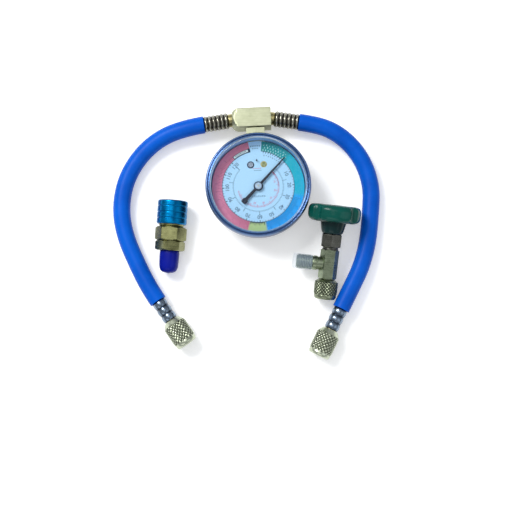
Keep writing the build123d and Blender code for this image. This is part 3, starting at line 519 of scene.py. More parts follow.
def math_node(tree, operation, first, second=None):
    """Result of a math node on sockets or numbers."""
    node = tree.nodes.new("ShaderNodeMath")
    node.operation = operation
    for socket, value in zip(node.inputs, (first, second)):
        if value is None:
            continue
        if isinstance(value, bpy.types.NodeSocket):
            tree.links.new(value, socket)
        else:
            socket.default_value = value
    return node.outputs["Value"]


def coordinates(tree):
    """A piece's own coordinates, or those of the shared frame where it has none."""
    shared = tree.nodes.new("ShaderNodeTexCoord")
    own = tree.nodes.new("ShaderNodeAttribute")
    own.attribute_name = "own_place"
    choice = tree.nodes.new("ShaderNodeMix")
    choice.data_type = "VECTOR"
    factor, first, second = [s for s in choice.inputs if s.enabled]
    length = tree.nodes.new("ShaderNodeVectorMath")
    length.operation = "LENGTH"
    tree.links.new(own.outputs["Vector"], length.inputs[0])
    tree.links.new(math_node(tree, "GREATER_THAN", length.outputs["Value"], 1e-6), factor)
    tree.links.new(shared.outputs["Object"], first)
    tree.links.new(own.outputs["Vector"], second)
    return [s for s in choice.outputs if s.enabled][0]


def stretched(tree, scale):
    """Coordinates stretched by one scale or by a scale for each axis."""
    mapping = tree.nodes.new("ShaderNodeMapping")
    mapping.inputs["Scale"].default_value = scale if isinstance(scale, tuple) else (scale, scale, scale)
    tree.links.new(coordinates(tree), mapping.inputs["Vector"])
    return mapping.outputs["Vector"]


def noise(tree, scale, detail=3.0, roughness=0.55):
    """Noise whose scale is its number of cells in a metre along each axis."""
    node = tree.nodes.new("ShaderNodeTexNoise")
    node.inputs["Scale"].default_value = 1.0
    node.inputs["Detail"].default_value = detail
    node.inputs["Roughness"].default_value = roughness
    tree.links.new(stretched(tree, scale), node.inputs["Vector"])
    return node.outputs["Fac"]


def ramp(tree, value, stops):
    """Colour ramp over a value. stops is [(place, colour)]."""
    node = tree.nodes.new("ShaderNodeValToRGB")
    tree.links.new(value, node.inputs["Fac"])
    elements = node.color_ramp.elements
    while len(elements) < len(stops):
        elements.new(0.5)
    for element, (where, colour) in zip(elements, stops):
        element.position = where
        element.color = (*colour, 1.0)
    return node.outputs["Color"]


def two_tone(tree, value, dark, light):
    """Drifts between two colours over the middle of a noise."""
    return ramp(tree, value, [(0.3, dark), (0.7, light)])


def spread(tree, value, low, high, start=0.3, end=0.7):
    """Maps the middle of a noise to a range of numbers."""
    node = tree.nodes.new("ShaderNodeMapRange")
    node.inputs["From Min"].default_value = start
    node.inputs["From Max"].default_value = end
    node.inputs["To Min"].default_value = low
    node.inputs["To Max"].default_value = high
    tree.links.new(value, node.inputs["Value"])
    return node.outputs["Result"]


def mix(tree, share, first, second, blend="MIX"):
    """Mixes two colours. share and the colours are sockets or plain values."""
    node = tree.nodes.new("ShaderNodeMix")
    node.data_type = "RGBA"
    node.blend_type = blend
    for socket, value in (("Factor", share), ("A", first), ("B", second)):
        inputs = [s for s in node.inputs if s.name == socket and s.enabled]
        if isinstance(value, bpy.types.NodeSocket):
            tree.links.new(value, inputs[0])
        elif socket == "Factor":
            inputs[0].default_value = value
        else:
            inputs[0].default_value = (*value, 1.0)
    return [s for s in node.outputs if s.enabled][0]


def attribute(tree, name):
    """Number stored on the mesh under this name."""
    node = tree.nodes.new("ShaderNodeAttribute")
    node.attribute_name = name
    return node.outputs["Fac"]


def bump(tree, shader, height, strength, distance):
    """Bump from a height socket, distance in metres."""
    node = tree.nodes.new("ShaderNodeBump")
    node.inputs["Strength"].default_value = strength
    node.inputs["Distance"].default_value = distance
    tree.links.new(height, node.inputs["Height"])
    tree.links.new(node.outputs["Normal"], shader.inputs["Normal"])


def position(tree):
    """X, Y, Z sockets of a piece's own coordinates."""
    split = tree.nodes.new("ShaderNodeSeparateXYZ")
    tree.links.new(coordinates(tree), split.inputs["Vector"])
    return split.outputs["X"], split.outputs["Y"], split.outputs["Z"]


def axis_distance(tree):
    """Distance from the Z axis of a piece's own coordinates."""
    x, y, z = position(tree)
    squares = [math_node(tree, "MULTIPLY", value, value) for value in (x, y)]
    return math_node(tree, "SQRT", math_node(tree, "ADD", *squares))


def surface(tree, shader, colour, grain, rough, relief=None):
    """Links a colour, a range of roughness over a grain, and relief as (strength, distance in metres)."""
    tree.links.new(colour, shader.inputs["Base Color"])
    tree.links.new(spread(tree, grain, *rough), shader.inputs["Roughness"])
    if relief:
        bump(tree, shader, grain, *relief)


def metal(name, bright, dull, rough, lines=(60, 60, 3000), groove=None, line_depth=0.000012):
    """Machined metal: cloudy tarnish, fine tool lines, and painted shade in its grooves."""
    material, tree, shader = new_material(name, Metallic=1.0, IOR=1.8)
    cloud = noise(tree, 180, 4.0)
    tool = noise(tree, lines, 2.0)
    colour = ramp(tree, cloud, [(0.32, dull), (0.62, bright)])
    streak = spread(tree, tool, 0.86, 1.06)
    grey = tree.nodes.new("ShaderNodeCombineColor")
    for channel in ("Red", "Green", "Blue"):
        tree.links.new(streak, grey.inputs[channel])
    colour = mix(tree, 1.0, colour, grey.outputs["Color"], "MULTIPLY")
    # The groove colour is painted shade, laid into knurls, rib valleys, threads and bores by the mesh's groove mark.
    if groove:
        colour = mix(tree, attribute(tree, "groove"), colour, groove)
    tree.links.new(colour, shader.inputs["Base Color"])
    speck = noise(tree, 900, 2.0)
    lined = spread(tree, tool, rough - 0.05, rough + 0.07)
    specked = spread(tree, speck, 0.0, 0.08)
    tree.links.new(math_node(tree, "ADD", lined, specked), shader.inputs["Roughness"])
    bump(tree, shader, tool, 0.6, line_depth)
    return material


def plastic(name, bright, dull, rough, grain=2600, depth=0.00002, coat=0.0, specular=0.5):
    """Moulded plastic or rubber: slight colour drift, fine grain and uneven gloss."""
    material, tree, shader = new_material(
        name, IOR=1.5, Coat_Weight=coat, Coat_Roughness=0.08, Specular_IOR_Level=specular,
    )
    drift = noise(tree, 70, 3.0)
    fine = noise(tree, grain, 2.0)
    colour = two_tone(tree, drift, dull, bright)
    surface(tree, shader, colour, fine, (rough - 0.06, rough + 0.08), (0.5, depth))
    return material


def rubber():
    """Blue hose rubber with a cloth-wrapped grain and paler scuffs."""
    material, tree, shader = new_material("hose_rubber", IOR=1.45, Specular_IOR_Level=0.11)
    drift = noise(tree, 45, 4.0)
    fine = noise(tree, 1900, 3.0)
    scuff = noise(tree, 320, 6.0, 0.7)
    base = two_tone(tree, drift, (0.001, 0.084, 0.51), (0.002, 0.118, 0.65))
    worn = spread(tree, scuff, 0.0, 0.30, 0.58, 0.8)
    colour = mix(tree, worn, base, (0.010, 0.17, 0.72))
    surface(tree, shader, colour, fine, (0.30, 0.44), (0.55, 0.00004))
    return material


CASE_MOUTH_R = 36.4
CASE_FLOOR_TOP = 1.1


def case_paint():
    """Black enamel outside, and a pale blue lining behind the window whose colour is partly painted reflection, made
    lighter to offset the shade under the bezel.
    """
    material, tree, shader = new_material("case_paint", IOR=1.5)
    z = position(tree)[2]
    radius = axis_distance(tree)
    outside = math_node(tree, "GREATER_THAN", radius, CASE_MOUTH_R * MM)
    low = math_node(tree, "LESS_THAN", z, CASE_FLOOR_TOP * MM)
    black = math_node(tree, "MAXIMUM", outside, low)
    cloud = noise(tree, 200, 3.0)
    fine = noise(tree, 2500, 2.0)
    # The lining colour is partly painted reflection and painted light, lighter and bluer than a plain lining.
    lining = two_tone(tree, cloud, (0.27, 0.50, 0.90), (0.35, 0.60, 0.98))
    paint = two_tone(tree, cloud, (0.012, 0.013, 0.018), (0.022, 0.024, 0.032))
    surface(tree, shader, mix(tree, black, lining, paint), fine, (0.32, 0.5), (0.5, 0.00003))
    return material


def knob_plastic():
    """Glossy green handwheel with its hub painted darker as painted shade."""
    material, tree, shader = new_material("green_plastic", IOR=1.5, Specular_IOR_Level=0.20)
    z = position(tree)[2]
    drift = noise(tree, 70, 3.0)
    fine = noise(tree, 1500, 2.0)
    wheel = two_tone(tree, drift, (0.001, 0.062, 0.047), (0.002, 0.090, 0.070))
    # The hub's darker green is painted shade. The hub is the same plastic as the wheel, and the mask below darkens it
    # by height.
    hub = two_tone(tree, drift, (0.003, 0.020, 0.021), (0.006, 0.030, 0.031))
    outer = spread(tree, z, 0.0, 1.0, 58.2 * MM, 60.2 * MM)
    surface(tree, shader, mix(tree, outer, hub, wheel), fine, (0.16, 0.26), (0.3, 0.00001))
    return material


def bezel_chrome():
    """Plated ring whose turned bands are painted reflections by radius: a painted white highlight on the inner lip,
    painted navy and lilac reflection bands, and a darker outer side.
    """
    material, tree, shader = new_material("bezel_chrome", Metallic=1.0, IOR=1.8)
    radius = axis_distance(tree)
    share = spread(tree, radius, 0.0, 1.0, 35.0 * MM, 40.0 * MM)
    # Painted reflections: this ramp paints the ring's highlight and its dark and lilac reflection bands by radius.
    band = ramp(tree, share, [
        (0.0, (0.60, 0.70, 0.82)), (0.10, (0.97, 0.98, 1.0)), (0.22, (0.90, 0.94, 1.0)),
        (0.29, (0.10, 0.20, 0.40)), (0.44, (0.105, 0.215, 0.43)), (0.50, (0.045, 0.10, 0.26)),
        (0.60, (0.047, 0.11, 0.28)), (0.68, (0.09, 0.17, 0.37)), (0.80, (0.14, 0.22, 0.38)),
        (0.92, (0.16, 0.21, 0.33)), (1.0, (0.08, 0.10, 0.18)),
    ])
    cloud = noise(tree, 90, 4.0)
    fine = noise(tree, 1800, 3.0)
    colour = mix(tree, spread(tree, cloud, 0.0, 0.22), band, (0.10, 0.14, 0.26))
    surface(tree, shader, colour, fine, (0.20, 0.27), (0.25, 0.0000008))
    return material


def window_glass():
    """Clear window that lets the dial show and keeps a soft gloss."""
    material, tree, shader = new_material("window_glass", Roughness=0.04, IOR=1.49, Alpha=0.03)
    fine = noise(tree, 500, 4.0)
    tint = two_tone(tree, fine, (0.10, 0.15, 0.20), (0.16, 0.22, 0.28))
    surface(tree, shader, tint, fine, (0.02, 0.07))
    return material


def clear_plastic():
    """Slightly milky blue cap that shows the thread inside."""
    material, tree, shader = new_material(
        "clear_plastic", IOR=1.5, Alpha=0.17, Coat_Weight=0.5, Coat_Roughness=0.06,
    )
    fine = noise(tree, 600, 4.0)
    tint = two_tone(tree, fine, (0.44, 0.58, 0.70), (0.62, 0.76, 0.88))
    surface(tree, shader, tint, fine, (0.10, 0.22), (0.3, 0.00004))
    return material


def dial_enamel():
    """Pale blue dial face, a little paler towards its middle."""
    material, tree, shader = new_material("dial_enamel", IOR=1.45, Specular_IOR_Level=0.12)
    radius = axis_distance(tree)
    pale = spread(tree, radius, 0.0, 1.0, 0.0, 0.035)
    face = ramp(tree, pale, [(0.0, (0.43, 0.72, 0.97)), (1.0, (0.42, 0.71, 0.95))])
    speck = noise(tree, 1500, 3.0)
    colour = mix(tree, spread(tree, speck, 0.0, 0.12), face, (0.30, 0.50, 0.74))
    surface(tree, shader, colour, speck, (0.35, 0.5), (0.3, 0.00001))
    return material


def ink(name, colour, other, rough=0.5):
    """Printed ink with a slight unevenness."""
    material, tree, shader = new_material(name, IOR=1.45, Specular_IOR_Level=0.12)
    speck = noise(tree, 2200, 3.0)
    blotchy = ramp(tree, speck, [(0.35, other), (0.65, colour)])
    surface(tree, shader, blotchy, speck, (rough - 0.08, rough + 0.08))
    return material


# The groove colours given below are painted shade for grooves, valleys and bores.
brass_nut = metal("brass_nut", (0.62, 0.67, 0.51), (0.47, 0.51, 0.38), 0.25, groove=(0.070, 0.080, 0.050))
brass_tap_nut = metal(
    "brass_tap_nut", (0.32, 0.36, 0.25), (0.23, 0.26, 0.17), 0.25,
    groove=(0.045, 0.052, 0.032),
)
brass_plain = metal("brass_plain", (0.46, 0.41, 0.20), (0.34, 0.30, 0.14), 0.3)
brass_tee = metal("brass_tee", (0.50, 0.52, 0.36), (0.43, 0.45, 0.305), 0.42, lines=(2500, 60, 60))
brass_tap = metal("brass_tap", (0.29, 0.345, 0.235), (0.20, 0.235, 0.155), 0.28, groove=(0.030, 0.034, 0.020))
brass_hex = metal(
    "brass_hex", (0.27, 0.275, 0.125), (0.165, 0.165, 0.072), 0.24,
    lines=(60, 60, 2600), groove=(0.05, 0.05, 0.03),
)
packing = metal("packing_brass", (0.155, 0.155, 0.135), (0.085, 0.085, 0.075), 0.24)
bronze = metal("bronze_strip", (0.60, 0.38, 0.22), (0.44, 0.28, 0.16), 0.35)
steel = metal("steel_bright", (0.50, 0.53, 0.58), (0.38, 0.41, 0.46), 0.25)
screw_steel = metal("screw_steel", (0.60, 0.60, 0.62), (0.40, 0.41, 0.45), 0.28, lines=(2200, 200, 200))
ferrule_tee = metal(
    "ferrule_tee", (0.46, 0.45, 0.37), (0.28, 0.275, 0.225), 0.22,
    groove=(0.035, 0.031, 0.025),
)
ferrule_end = metal("ferrule_end", (0.27, 0.34, 0.43), (0.17, 0.23, 0.31), 0.19, groove=(0.006, 0.011, 0.025))
hub_silver = metal("hub_silver", (0.40, 0.52, 0.64), (0.27, 0.37, 0.48), 0.34)
anodised = metal("anodised_blue", (0.002, 0.20, 0.46), (0.001, 0.13, 0.35), 0.26, groove=(0.001, 0.05, 0.18))
hose_rubber = rubber()
blue_plastic = plastic("blue_plastic", (0.001, 0.009, 0.30), (0.001, 0.005, 0.22), 0.32, specular=0.16)
black_rubber = plastic("black_rubber", (0.020, 0.020, 0.022), (0.010, 0.010, 0.011), 0.6)
pointer_paint = plastic("pointer_paint", (0.008, 0.014, 0.036), (0.004, 0.007, 0.020), 0.4, specular=0.3)
green = knob_plastic()
chrome = bezel_chrome()
case_black = case_paint()
glass = window_glass()
clear = clear_plastic()
dial_face = dial_enamel()
ink_black = ink("ink_black", (0.03, 0.05, 0.10), (0.015, 0.025, 0.06))
ink_mid = ink("ink_mid", (0.10, 0.18, 0.30), (0.07, 0.14, 0.24))
ink_pale = ink("ink_pale", (0.16, 0.28, 0.42), (0.12, 0.22, 0.34))
ink_pink = ink("ink_pink", (0.62, 0.26, 0.42), (0.52, 0.20, 0.35))
ink_red = ink("ink_red", (0.26, 0.050, 0.12), (0.20, 0.035, 0.09))
ink_azure = ink("ink_azure", (0.006, 0.11, 0.38), (0.004, 0.08, 0.30))
ink_white = ink("ink_white", (0.72, 0.88, 0.90), (0.62, 0.80, 0.84))
ink_mint = ink("ink_mint", (0.34, 0.70, 0.70), (0.22, 0.56, 0.56))


def dress(piece, body, material, slot, *nodes):
    """Gives a piece its material and slot, lets it ride and says which nodes it stands for."""
    piece.data.materials.clear()
    piece.data.materials.append(material)
    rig.ride(piece, body)
    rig.slot(piece, slot)
    if nodes:
        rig.replaces(piece, *nodes)
    return piece


# Hose ends and nuts, then the hoses declared with what is on them

HOSE_KNURL = (19, 2.95, 0.55)
TAP_KNURL = (21, 2.65, 0.5)
NUT_R = 8.9
THREAD_PITCH = 1.27


def knurl_height(angle, height, count, pitch):
    """1 on the flat tops and 0 in the grooves of a diamond knurl."""
    round_share = count * angle / (2 * math.pi)
    along = height / pitch
    return min(1.0, 1.5 * min(triangle_wave(round_share + along), triangle_wave(round_share - along)))


def swivel_nut(name, at, low, high, thread, neck_wall, cone, knurl):
    """Knurled nut from its neck at low to its threaded mouth at high."""
    outline = soften([
        (4.0, low), (6.0, low, 0.1), (6.4, low + 0.1 * cone), (8.3, low + 0.72 * cone),
    ], 0.3, closed=False)
    rings = [(height, radius) for radius, height in outline]
    start = low + 0.74 * cone
    stop = high - 3.4
    knurls, pitch, depth = knurl
    step = pitch / 10
    count = int((stop - start) / step)
    for i in range(count + 1):
        height = start + step * i
        fade = min(1.0, (height - low - 0.72 * cone) / (0.28 * cone))
        crest = 8.35 + (NUT_R - 8.35) * math.sin(fade * math.pi / 2)
        crest -= 0.3 * max(0.0, (height - stop + 2.5) / 2.5) ** 2

        def radius(angle, height=height, crest=crest):
            return crest - depth * (1 - knurl_height(angle, height, knurls, pitch))

        # The groove mark sets painted shade in the knurl's grooves and in the thread and bore inside.
        def groove(angle, height=height):
            return min(1.0, max(0.0, (0.75 - knurl_height(angle, height, knurls, pitch)) / 0.5))

        rings.append((height, radius, groove))
    mouth = soften([
        (8.35, high - 3.25), (8.4, high - 2.7), (8.4, high - 1.5, 0.5), (7.5, high, 0.3),
        (5.5, high, 0.2), (4.95, high - 0.5),
    ], 0.25, closed=False)
    rings += [(height, radius) for radius, height in mouth]
    turns = int((thread - 0.8) / THREAD_PITCH)
    for i in range(turns):
        top = high - 0.5 - THREAD_PITCH * i
        for share, thread_r, mark in ((0.10, 4.95, 0.0), (0.5, 5.45, 0.9), (0.9, 4.95, 0.0)):
            rings.append((top - THREAD_PITCH * share, thread_r, mark))
    rings += [(high - thread - 0.5, 5.5, 1.0), (low + neck_wall, 5.5, 1.0), (low + neck_wall, 4.0, 1.0)]
    return skin(name, rings, at, knurls * 10, loop=True, sharp=40.0)


def crimped(name, at, low, high, ribs, crest, valley, inner, power, press):
    """Ferrule with crimped ribs. Its eight dies leave faint flats of depth press in the valleys."""
    pitch = (high - low) / ribs
    count = ribs * 12
    rings = [(low, inner), (low, valley - 0.25)]
    for i in range(count + 1):
        height = low + 0.15 + (high - low - 0.3) * i / count
        share = 0.5 - 0.5 * math.cos(2 * math.pi * (height - low) / pitch)
        share = share ** power
        base = valley + (crest - valley) * share
        flat = (1 - share) * press

        def radius(angle, base=base, flat=flat):
            return base - flat * (0.5 - 0.5 * math.cos(8 * angle))

        # The third number marks the valleys between the ribs for painted shade.
        rings.append((height, radius, min(1.0, 1.25 * (1 - share) ** 1.5)))
    rings += [(high, valley - 0.25), (high, inner)]
    return skin(name, rings, at, 96, loop=True, sharp=60.0)


for side, at in (("left", TEE_LEFT), ("right", TEE_RIGHT)):
    ferrule = crimped(f"ferrule_tee_{side}", at, 3.0, 22.0, 6, 6.4, 5.65, 2.62, 1.25, 0.16)
    dress(ferrule, "gauge", ferrule_tee, "ferrule_metal", f"tee_ferrule_{side}")

hose_pieces = {}
for side, at in (("left", LEFT_END), ("right", RIGHT_END)):
    ferrule = crimped(f"ferrule_end_{side}", at, 0.0, 17.5, 3, 5.55, 4.75, 2.62, 0.38, 0.05)
    dress(ferrule, "gauge", ferrule_end, "end_ferrule_metal", f"end_ferrule_{side}")
    nut = swivel_nut(f"nut_{side}", at, 17.9, 39.4, 9.5, 4.0, 4.8, HOSE_KNURL)
    dress(nut, f"nut_{side}", brass_nut, "brass", f"hose_nut_{side}")
    inside = [frame["nodes"][f"{part}_{side}"] for part in ("hose_stem", "nut_gasket", "core_pin")]
    hose_pieces[side] = [ferrule, nut, *inside]

for hose, side, points, length in (
    (rubber_left, "left", LEFT_POINTS, LEFT_LENGTH),
    (rubber_right, "right", RIGHT_POINTS, RIGHT_LENGTH),
):
    dress(hose, "gauge", hose_rubber, "blue_rubber", f"hose_{side}")
    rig.cord(
        hose, exit=points[0], length=length, diameter=2 * HOSE_R * MM, far_end="fitting",
        stiffness="medium", lay="loose", with_pieces=hose_pieces[side],
    )


# Gauge housing

bezel_outline = [
    (37.35, 20.75, 0.2), (39.3, 20.65, 0.3), (39.95, 21.4, 0.4), (39.98, 26.4, 1.6), (39.6, 28.3, 1.0),
    (38.9, 29.3, 0.5), (38.25, 29.3, 0.25), (37.85, 28.55, 0.2), (37.45, 28.55, 0.2), (37.2, 29.35, 0.2),
    (36.5, 29.45, 0.3), (35.75, 28.75, 0.3), (35.45, 28.05, 0.05), (38.72, 28.02, 0.05),
    (38.72, 23.76, 0.05), (37.35, 23.76, 0.05),
]
bezel = lathe("bezel", bezel_outline, ROW, 0.3, 192)
dress(bezel, "gauge", chrome, "chrome_bezel", "bezel_ring")


def dress_node(node, material, bevel=0.0):
    """Material, and a fine bevel if asked, on a node of the CAD model."""
    piece = frame["nodes"][node]
    piece.data.materials.clear()
    piece.data.materials.append(material)
    if bevel:
        edge = piece.modifiers.new("edge", "BEVEL")
        edge.width = bevel * MM
        edge.segments = 2
        edge.limit_method = "ANGLE"
        edge.angle_limit = math.radians(40)
    return piece


dress_node("gauge_case", case_black)
dress_node("lens", glass)
dress_node("lens_gasket", black_rubber)
dress_node("gauge_socket", brass_tee)
dress_node("stop_pin", pointer_paint)
for node in ("bourdon_tube", "hairspring"):
    dress_node(node, bronze)
for node in (
    "tube_tip", "pinion_arbor", "sector_gear", "movement_base_plate", "movement_top_plate",
    "movement_pillars", "hose_stem_left", "hose_stem_right", "core_pin_left", "core_pin_right",
    "tap_core_pin", "tap_port_core", "coupler_plunger",
):
    dress_node(node, brass_plain)
for node in (
    "tube_link", "link_pins", "sector_arbor", "movement_screws", "tap_needle", "tap_spindle",
    "tap_nut_ring", "coupler_balls", "coupler_sleeve_spring", "coupler_retaining_ring",
    "coupler_plunger_spring",
):
    dress_node(node, steel)
for node in ("nut_gasket_left", "nut_gasket_right", "tap_gasket", "tap_oring", "coupler_oring"):
    dress_node(node, black_rubber)


# Dial face: bands, ticks, numbers and inner rings. Angles are in degrees clockwise from the stem

BAND_IN = 27.6
BAND_START = 7.0
BAND_END = 350.0
BAND_THICK = 0.02
ON_BAND = DIAL_TOP + BAND_THICK
ZERO_ANGLE = 45.0
DEGREES_PER_UNIT = 2.25
DASH_STEP = 4.1
LABEL_START = 322.0
def band_material():
    """Colour bands by the angle clockwise from the stem, in degrees. The red band's lighter left part is painted light
    that offsets the shade there.
    """
    material, tree, shader = new_material("dial_bands", IOR=1.45, Specular_IOR_Level=0.1)
    x, y = position(tree)[:2]
    turn = math_node(tree, "ARCTAN2", x, y)
    degrees = math_node(tree, "MULTIPLY", turn, 180 / math.pi)
    positive = math_node(tree, "ADD", degrees, 360.0)
    wrapped = math_node(tree, "MODULO", positive, 360.0)
    share = math_node(tree, "DIVIDE", wrapped, 360.0)
    stops = [
        (0.0, (0.003, 0.21, 0.20)), (44 / 360, (0.003, 0.31, 0.34)), (48 / 360, (0.002, 0.44, 0.54)),
        (102 / 360, (0.002, 0.47, 0.66)), (107 / 360, (0.008, 0.40, 0.86)), (171 / 360, (0.006, 0.34, 0.86)),
        (172 / 360, (0.44, 0.60, 0.24)), (196.4 / 360, (0.44, 0.60, 0.24)),
        # The red band is pink-red print, painted lighter around 262 and 310 degrees on the dial's left as painted
        # light offsetting the shade there.
        (196.6 / 360, (0.60, 0.17, 0.27)),
        (262 / 360, (0.84, 0.29, 0.46)), (310 / 360, (0.78, 0.25, 0.39)),
        (351 / 360, (0.66, 0.19, 0.29)),
    ]
    colour = ramp(tree, share, stops)
    speck = noise(tree, 2400, 4.0, 0.7)
    dash = noise(tree, 500, 3.0)
    colour = mix(tree, spread(tree, speck, 0.0, 0.12), colour, (0.10, 0.16, 0.30))
    colour = mix(tree, spread(tree, dash, 0.0, 0.05), colour, (0.60, 0.75, 0.85))
    surface(tree, shader, colour, speck, (0.38, 0.55))
    return material


def scale_angle(value):
    """Clockwise angle from the stem of a value on the outer scale."""
    return ZERO_ANGLE + DEGREES_PER_UNIT * value


def print_marks(name, marks, material, at=ROW):
    """Marks printed on the dial as one piece."""
    return dress(join_marks(name, marks, at), "gauge", material, "dial_print")


def lettering(name, words, material, size):
    """Flat numbers on the dial. words is [(text, clockwise angle, radius)]."""
    made = []
    for text, angle, radius in words:
        curve = bpy.data.curves.new(name, "FONT")
        curve.body = text
        curve.size = size * MM
        curve.align_x = "CENTER"
        curve.align_y = "CENTER"
        curve.extrude = PRINT * MM / 2
        curve.offset = 0.012 * size * MM
        curve.resolution_u = 3
        letters = add_object(name, curve)
        turn = math.radians(angle)
        spot = Vector((math.sin(turn) * radius, math.cos(turn) * radius, DIAL_TOP + PRINT / 2)) * MM
        letters.matrix_world = ROW @ Matrix.Translation(spot) @ Matrix.Rotation(-turn, 4, "Z")
        made.append(letters)
    bpy.context.view_layer.update()
    joined = bmesh.new()
    graph = bpy.context.evaluated_depsgraph_get()
    for letters in made:
        flat = bpy.data.meshes.new_from_object(letters.evaluated_get(graph))
        flat.transform(letters.matrix_world)
        joined.from_mesh(flat)
        bpy.data.meshes.remove(flat)
        bpy.data.objects.remove(letters)
    mesh = bpy.data.meshes.new(name)
    joined.to_mesh(mesh)
    joined.free()
    return dress(add_object(name, mesh), "gauge", material, "dial_print")


dial_outline = [(2.5, 18.22), (35.15, 18.22), (35.15, DIAL_TOP), (2.5, DIAL_TOP)]
dial = lathe("dial", dial_outline, ROW, 0.05, 144)
dress(dial, "gauge", dial_face, "dial_print", "dial_plate")

bands = [ring_mark(BAND_IN, 35.1, BAND_START, BAND_END, DIAL_TOP, BAND_THICK, 180)]
print_marks("dial_bands", bands, band_material())

black_marks = []
for value in range(0, 121, 2):
    long = value % 10 == 0
    black_marks.append(tick(scale_angle(value), 25.9 if long else 26.5, BAND_IN, 0.6 if long else 0.38))
for i in range(9):
    black_marks.append(tick(11.0 + DASH_STEP * i, 26.0, 27.3, 0.45))
    black_marks.append(tick(13.0 + DASH_STEP * i, 23.9 + 0.4 * (i % 2), 25.0, 0.4))
for i in range(10):
    black_marks.append(tick(173.6 + 2.4 * i, BAND_IN, 29.0 + 0.9 * (i % 3 == 0), 0.42, ON_BAND))
black_marks.append(ring_mark(27.3, BAND_IN, BAND_START, BAND_END, steps=160))
black_marks.append(ring_mark(27.3, 28.0, 172.0, 196.0, ON_BAND, PRINT, 12))
black_marks.append(ring_mark(27.2, 27.95, LABEL_START, BAND_END, ON_BAND, PRINT, 20))
black_marks.append(ring_mark(29.7, 30.05, LABEL_START, BAND_END, ON_BAND, PRINT, 20))
black_marks.append(tick(322.3, 27.2, 30.0, 0.6, ON_BAND))
black_marks.append(tick(348.6, 27.2, 30.4, 1.6, ON_BAND))
for i in range(9):
    black_marks.append(tick(326.5 + 2.1 * i, 28.5, 29.2, 0.55, DIAL_TOP + 0.05))
print_marks("dial_ticks", black_marks, ink_black)

label = [ring_mark(27.95, 29.7, 322.8, 347.0, ON_BAND, 0.02, 16)]
print_marks("dial_label", label, ink_white)
white_marks = []
for i in range(9):
    white_marks.append(tick(10.0 + DASH_STEP * i, 27.9, 29.2, 0.8, ON_BAND))
    white_marks.append(tick(12.1 + DASH_STEP * i, 30.0, 30.9 + 0.6 * (i % 2), 0.75, ON_BAND))
    white_marks.append(tick(10.2 + DASH_STEP * i, 32.0, 32.6 + 0.6 * (i % 2), 0.6, ON_BAND))
print_marks("dial_dashes", white_marks, ink_mint)

soft_marks = []
for i in range(81):
    bold = i % 10 == 0
    soft_marks.append(tick(45 + 270 * i / 80, 18.9, 20.6 if bold else 19.7, 0.5 if bold else 0.3))
soft_marks.append(ring_mark(18.72, 18.9, ZERO_ANGLE, 315.0, steps=120))
for i in range(6):
    soft_marks.append(tick(352 + 2.5 * i, 31.0, 32.1, 0.7))
for i in range(4):
    soft_marks.append(tick(354.5 + 2.4 * i, 29.2, 30.0, 0.6))
for i in range(7):
    soft_marks.append(dash(-4.8 + 1.5 * i, -4.15 + 1.5 * i, -8.2, -7.0 + 0.3 * (i % 2)))
for i in range(5):
    soft_marks.append(dash(-2.6 + 1.2 * i, -1.8 + 1.2 * i, 12.2, 12.7))
print_marks("dial_fine", soft_marks, ink_pale)

pink_marks = [
    ring_mark(15.5, 15.68, 46.0, 262.0, steps=100),
    ring_mark(15.1, 16.1, 46.0, 58.0),
    ring_mark(15.4, 15.8, 58.0, 92.0),
]
for i in range(54):
    pink_marks.append(tick(46 + 4 * i, 14.5 if i % 5 else 13.9, 16.3, 0.26 if i % 5 else 0.42))
for i in range(4):
    pink_marks.append(dash(-3.4 + 1.7 * i, -2.3 + 1.7 * i, 13.8, 14.3))
print_marks("dial_pink", pink_marks, ink_pink)


def band_lines(name, material, start, count, long, short, width):
    """Fine radial lines on a band, every fifth one longer."""
    ends = [long if i % 5 == 0 else short for i in range(count)]
    marks = [tick(start + DEGREES_PER_UNIT * i, 27.7, end, width, ON_BAND) for i, end in enumerate(ends)]
    return print_marks(name, marks, material)


band_lines("dial_red_lines", ink_red, 198.0, 55, 32.6, 30.6, 0.24)
band_lines("dial_azure_lines", ink_azure, 109.5, 28, 34.0, 31.6, 0.26)

outer_numbers = [(str(v), scale_angle(v), 23.4) for v in range(0, 121, 10)]
lettering("dial_numbers", outer_numbers, ink_mid, 3.9)
inner_numbers = [(str(v), 45 + 33.75 * v, 21.3) for v in range(1, 9)]
lettering("dial_small_numbers", inner_numbers, ink_mid, 2.1)
pink_numbers = [(str(10 * v), 45 + 30.0 * v, 12.9) for v in range(1, 7)]
lettering("dial_pink_numbers", pink_numbers, ink_pink, 2.0)


def screw_metal():
    """Bright screw on the left and a brassy one on the right."""
    material, tree, shader = new_material("dial_screw_metal", Metallic=1.0, IOR=1.8)
    right = math_node(tree, "GREATER_THAN", position(tree)[0], 0.0)
    tool = noise(tree, (1200, 200, 200), 2.0)
    silver = two_tone(tree, tool, (0.16, 0.21, 0.28), (0.34, 0.40, 0.48))
    brassy = two_tone(tree, tool, (0.16, 0.19, 0.09), (0.36, 0.41, 0.24))
    surface(tree, shader, mix(tree, right, silver, brassy), tool, (0.2, 0.35))
    return material


SCREW_X = 5
SCREW_Y = 17
dress_node("dial_screws", screw_metal(), 0.12)
ring_left = [ring_mark(1.75, 2.75, 0, 360, 0, PRINT, 40)]
ring_right = [ring_mark(1.75, 2.45, 0, 360, 0, PRINT, 40)]
print_marks("screw_ring_left", ring_left, ink_black, ROW @ shift(-SCREW_X, SCREW_Y, DIAL_TOP))
print_marks("screw_ring_right", ring_right, brass_plain, ROW @ shift(SCREW_X, SCREW_Y, DIAL_TOP))


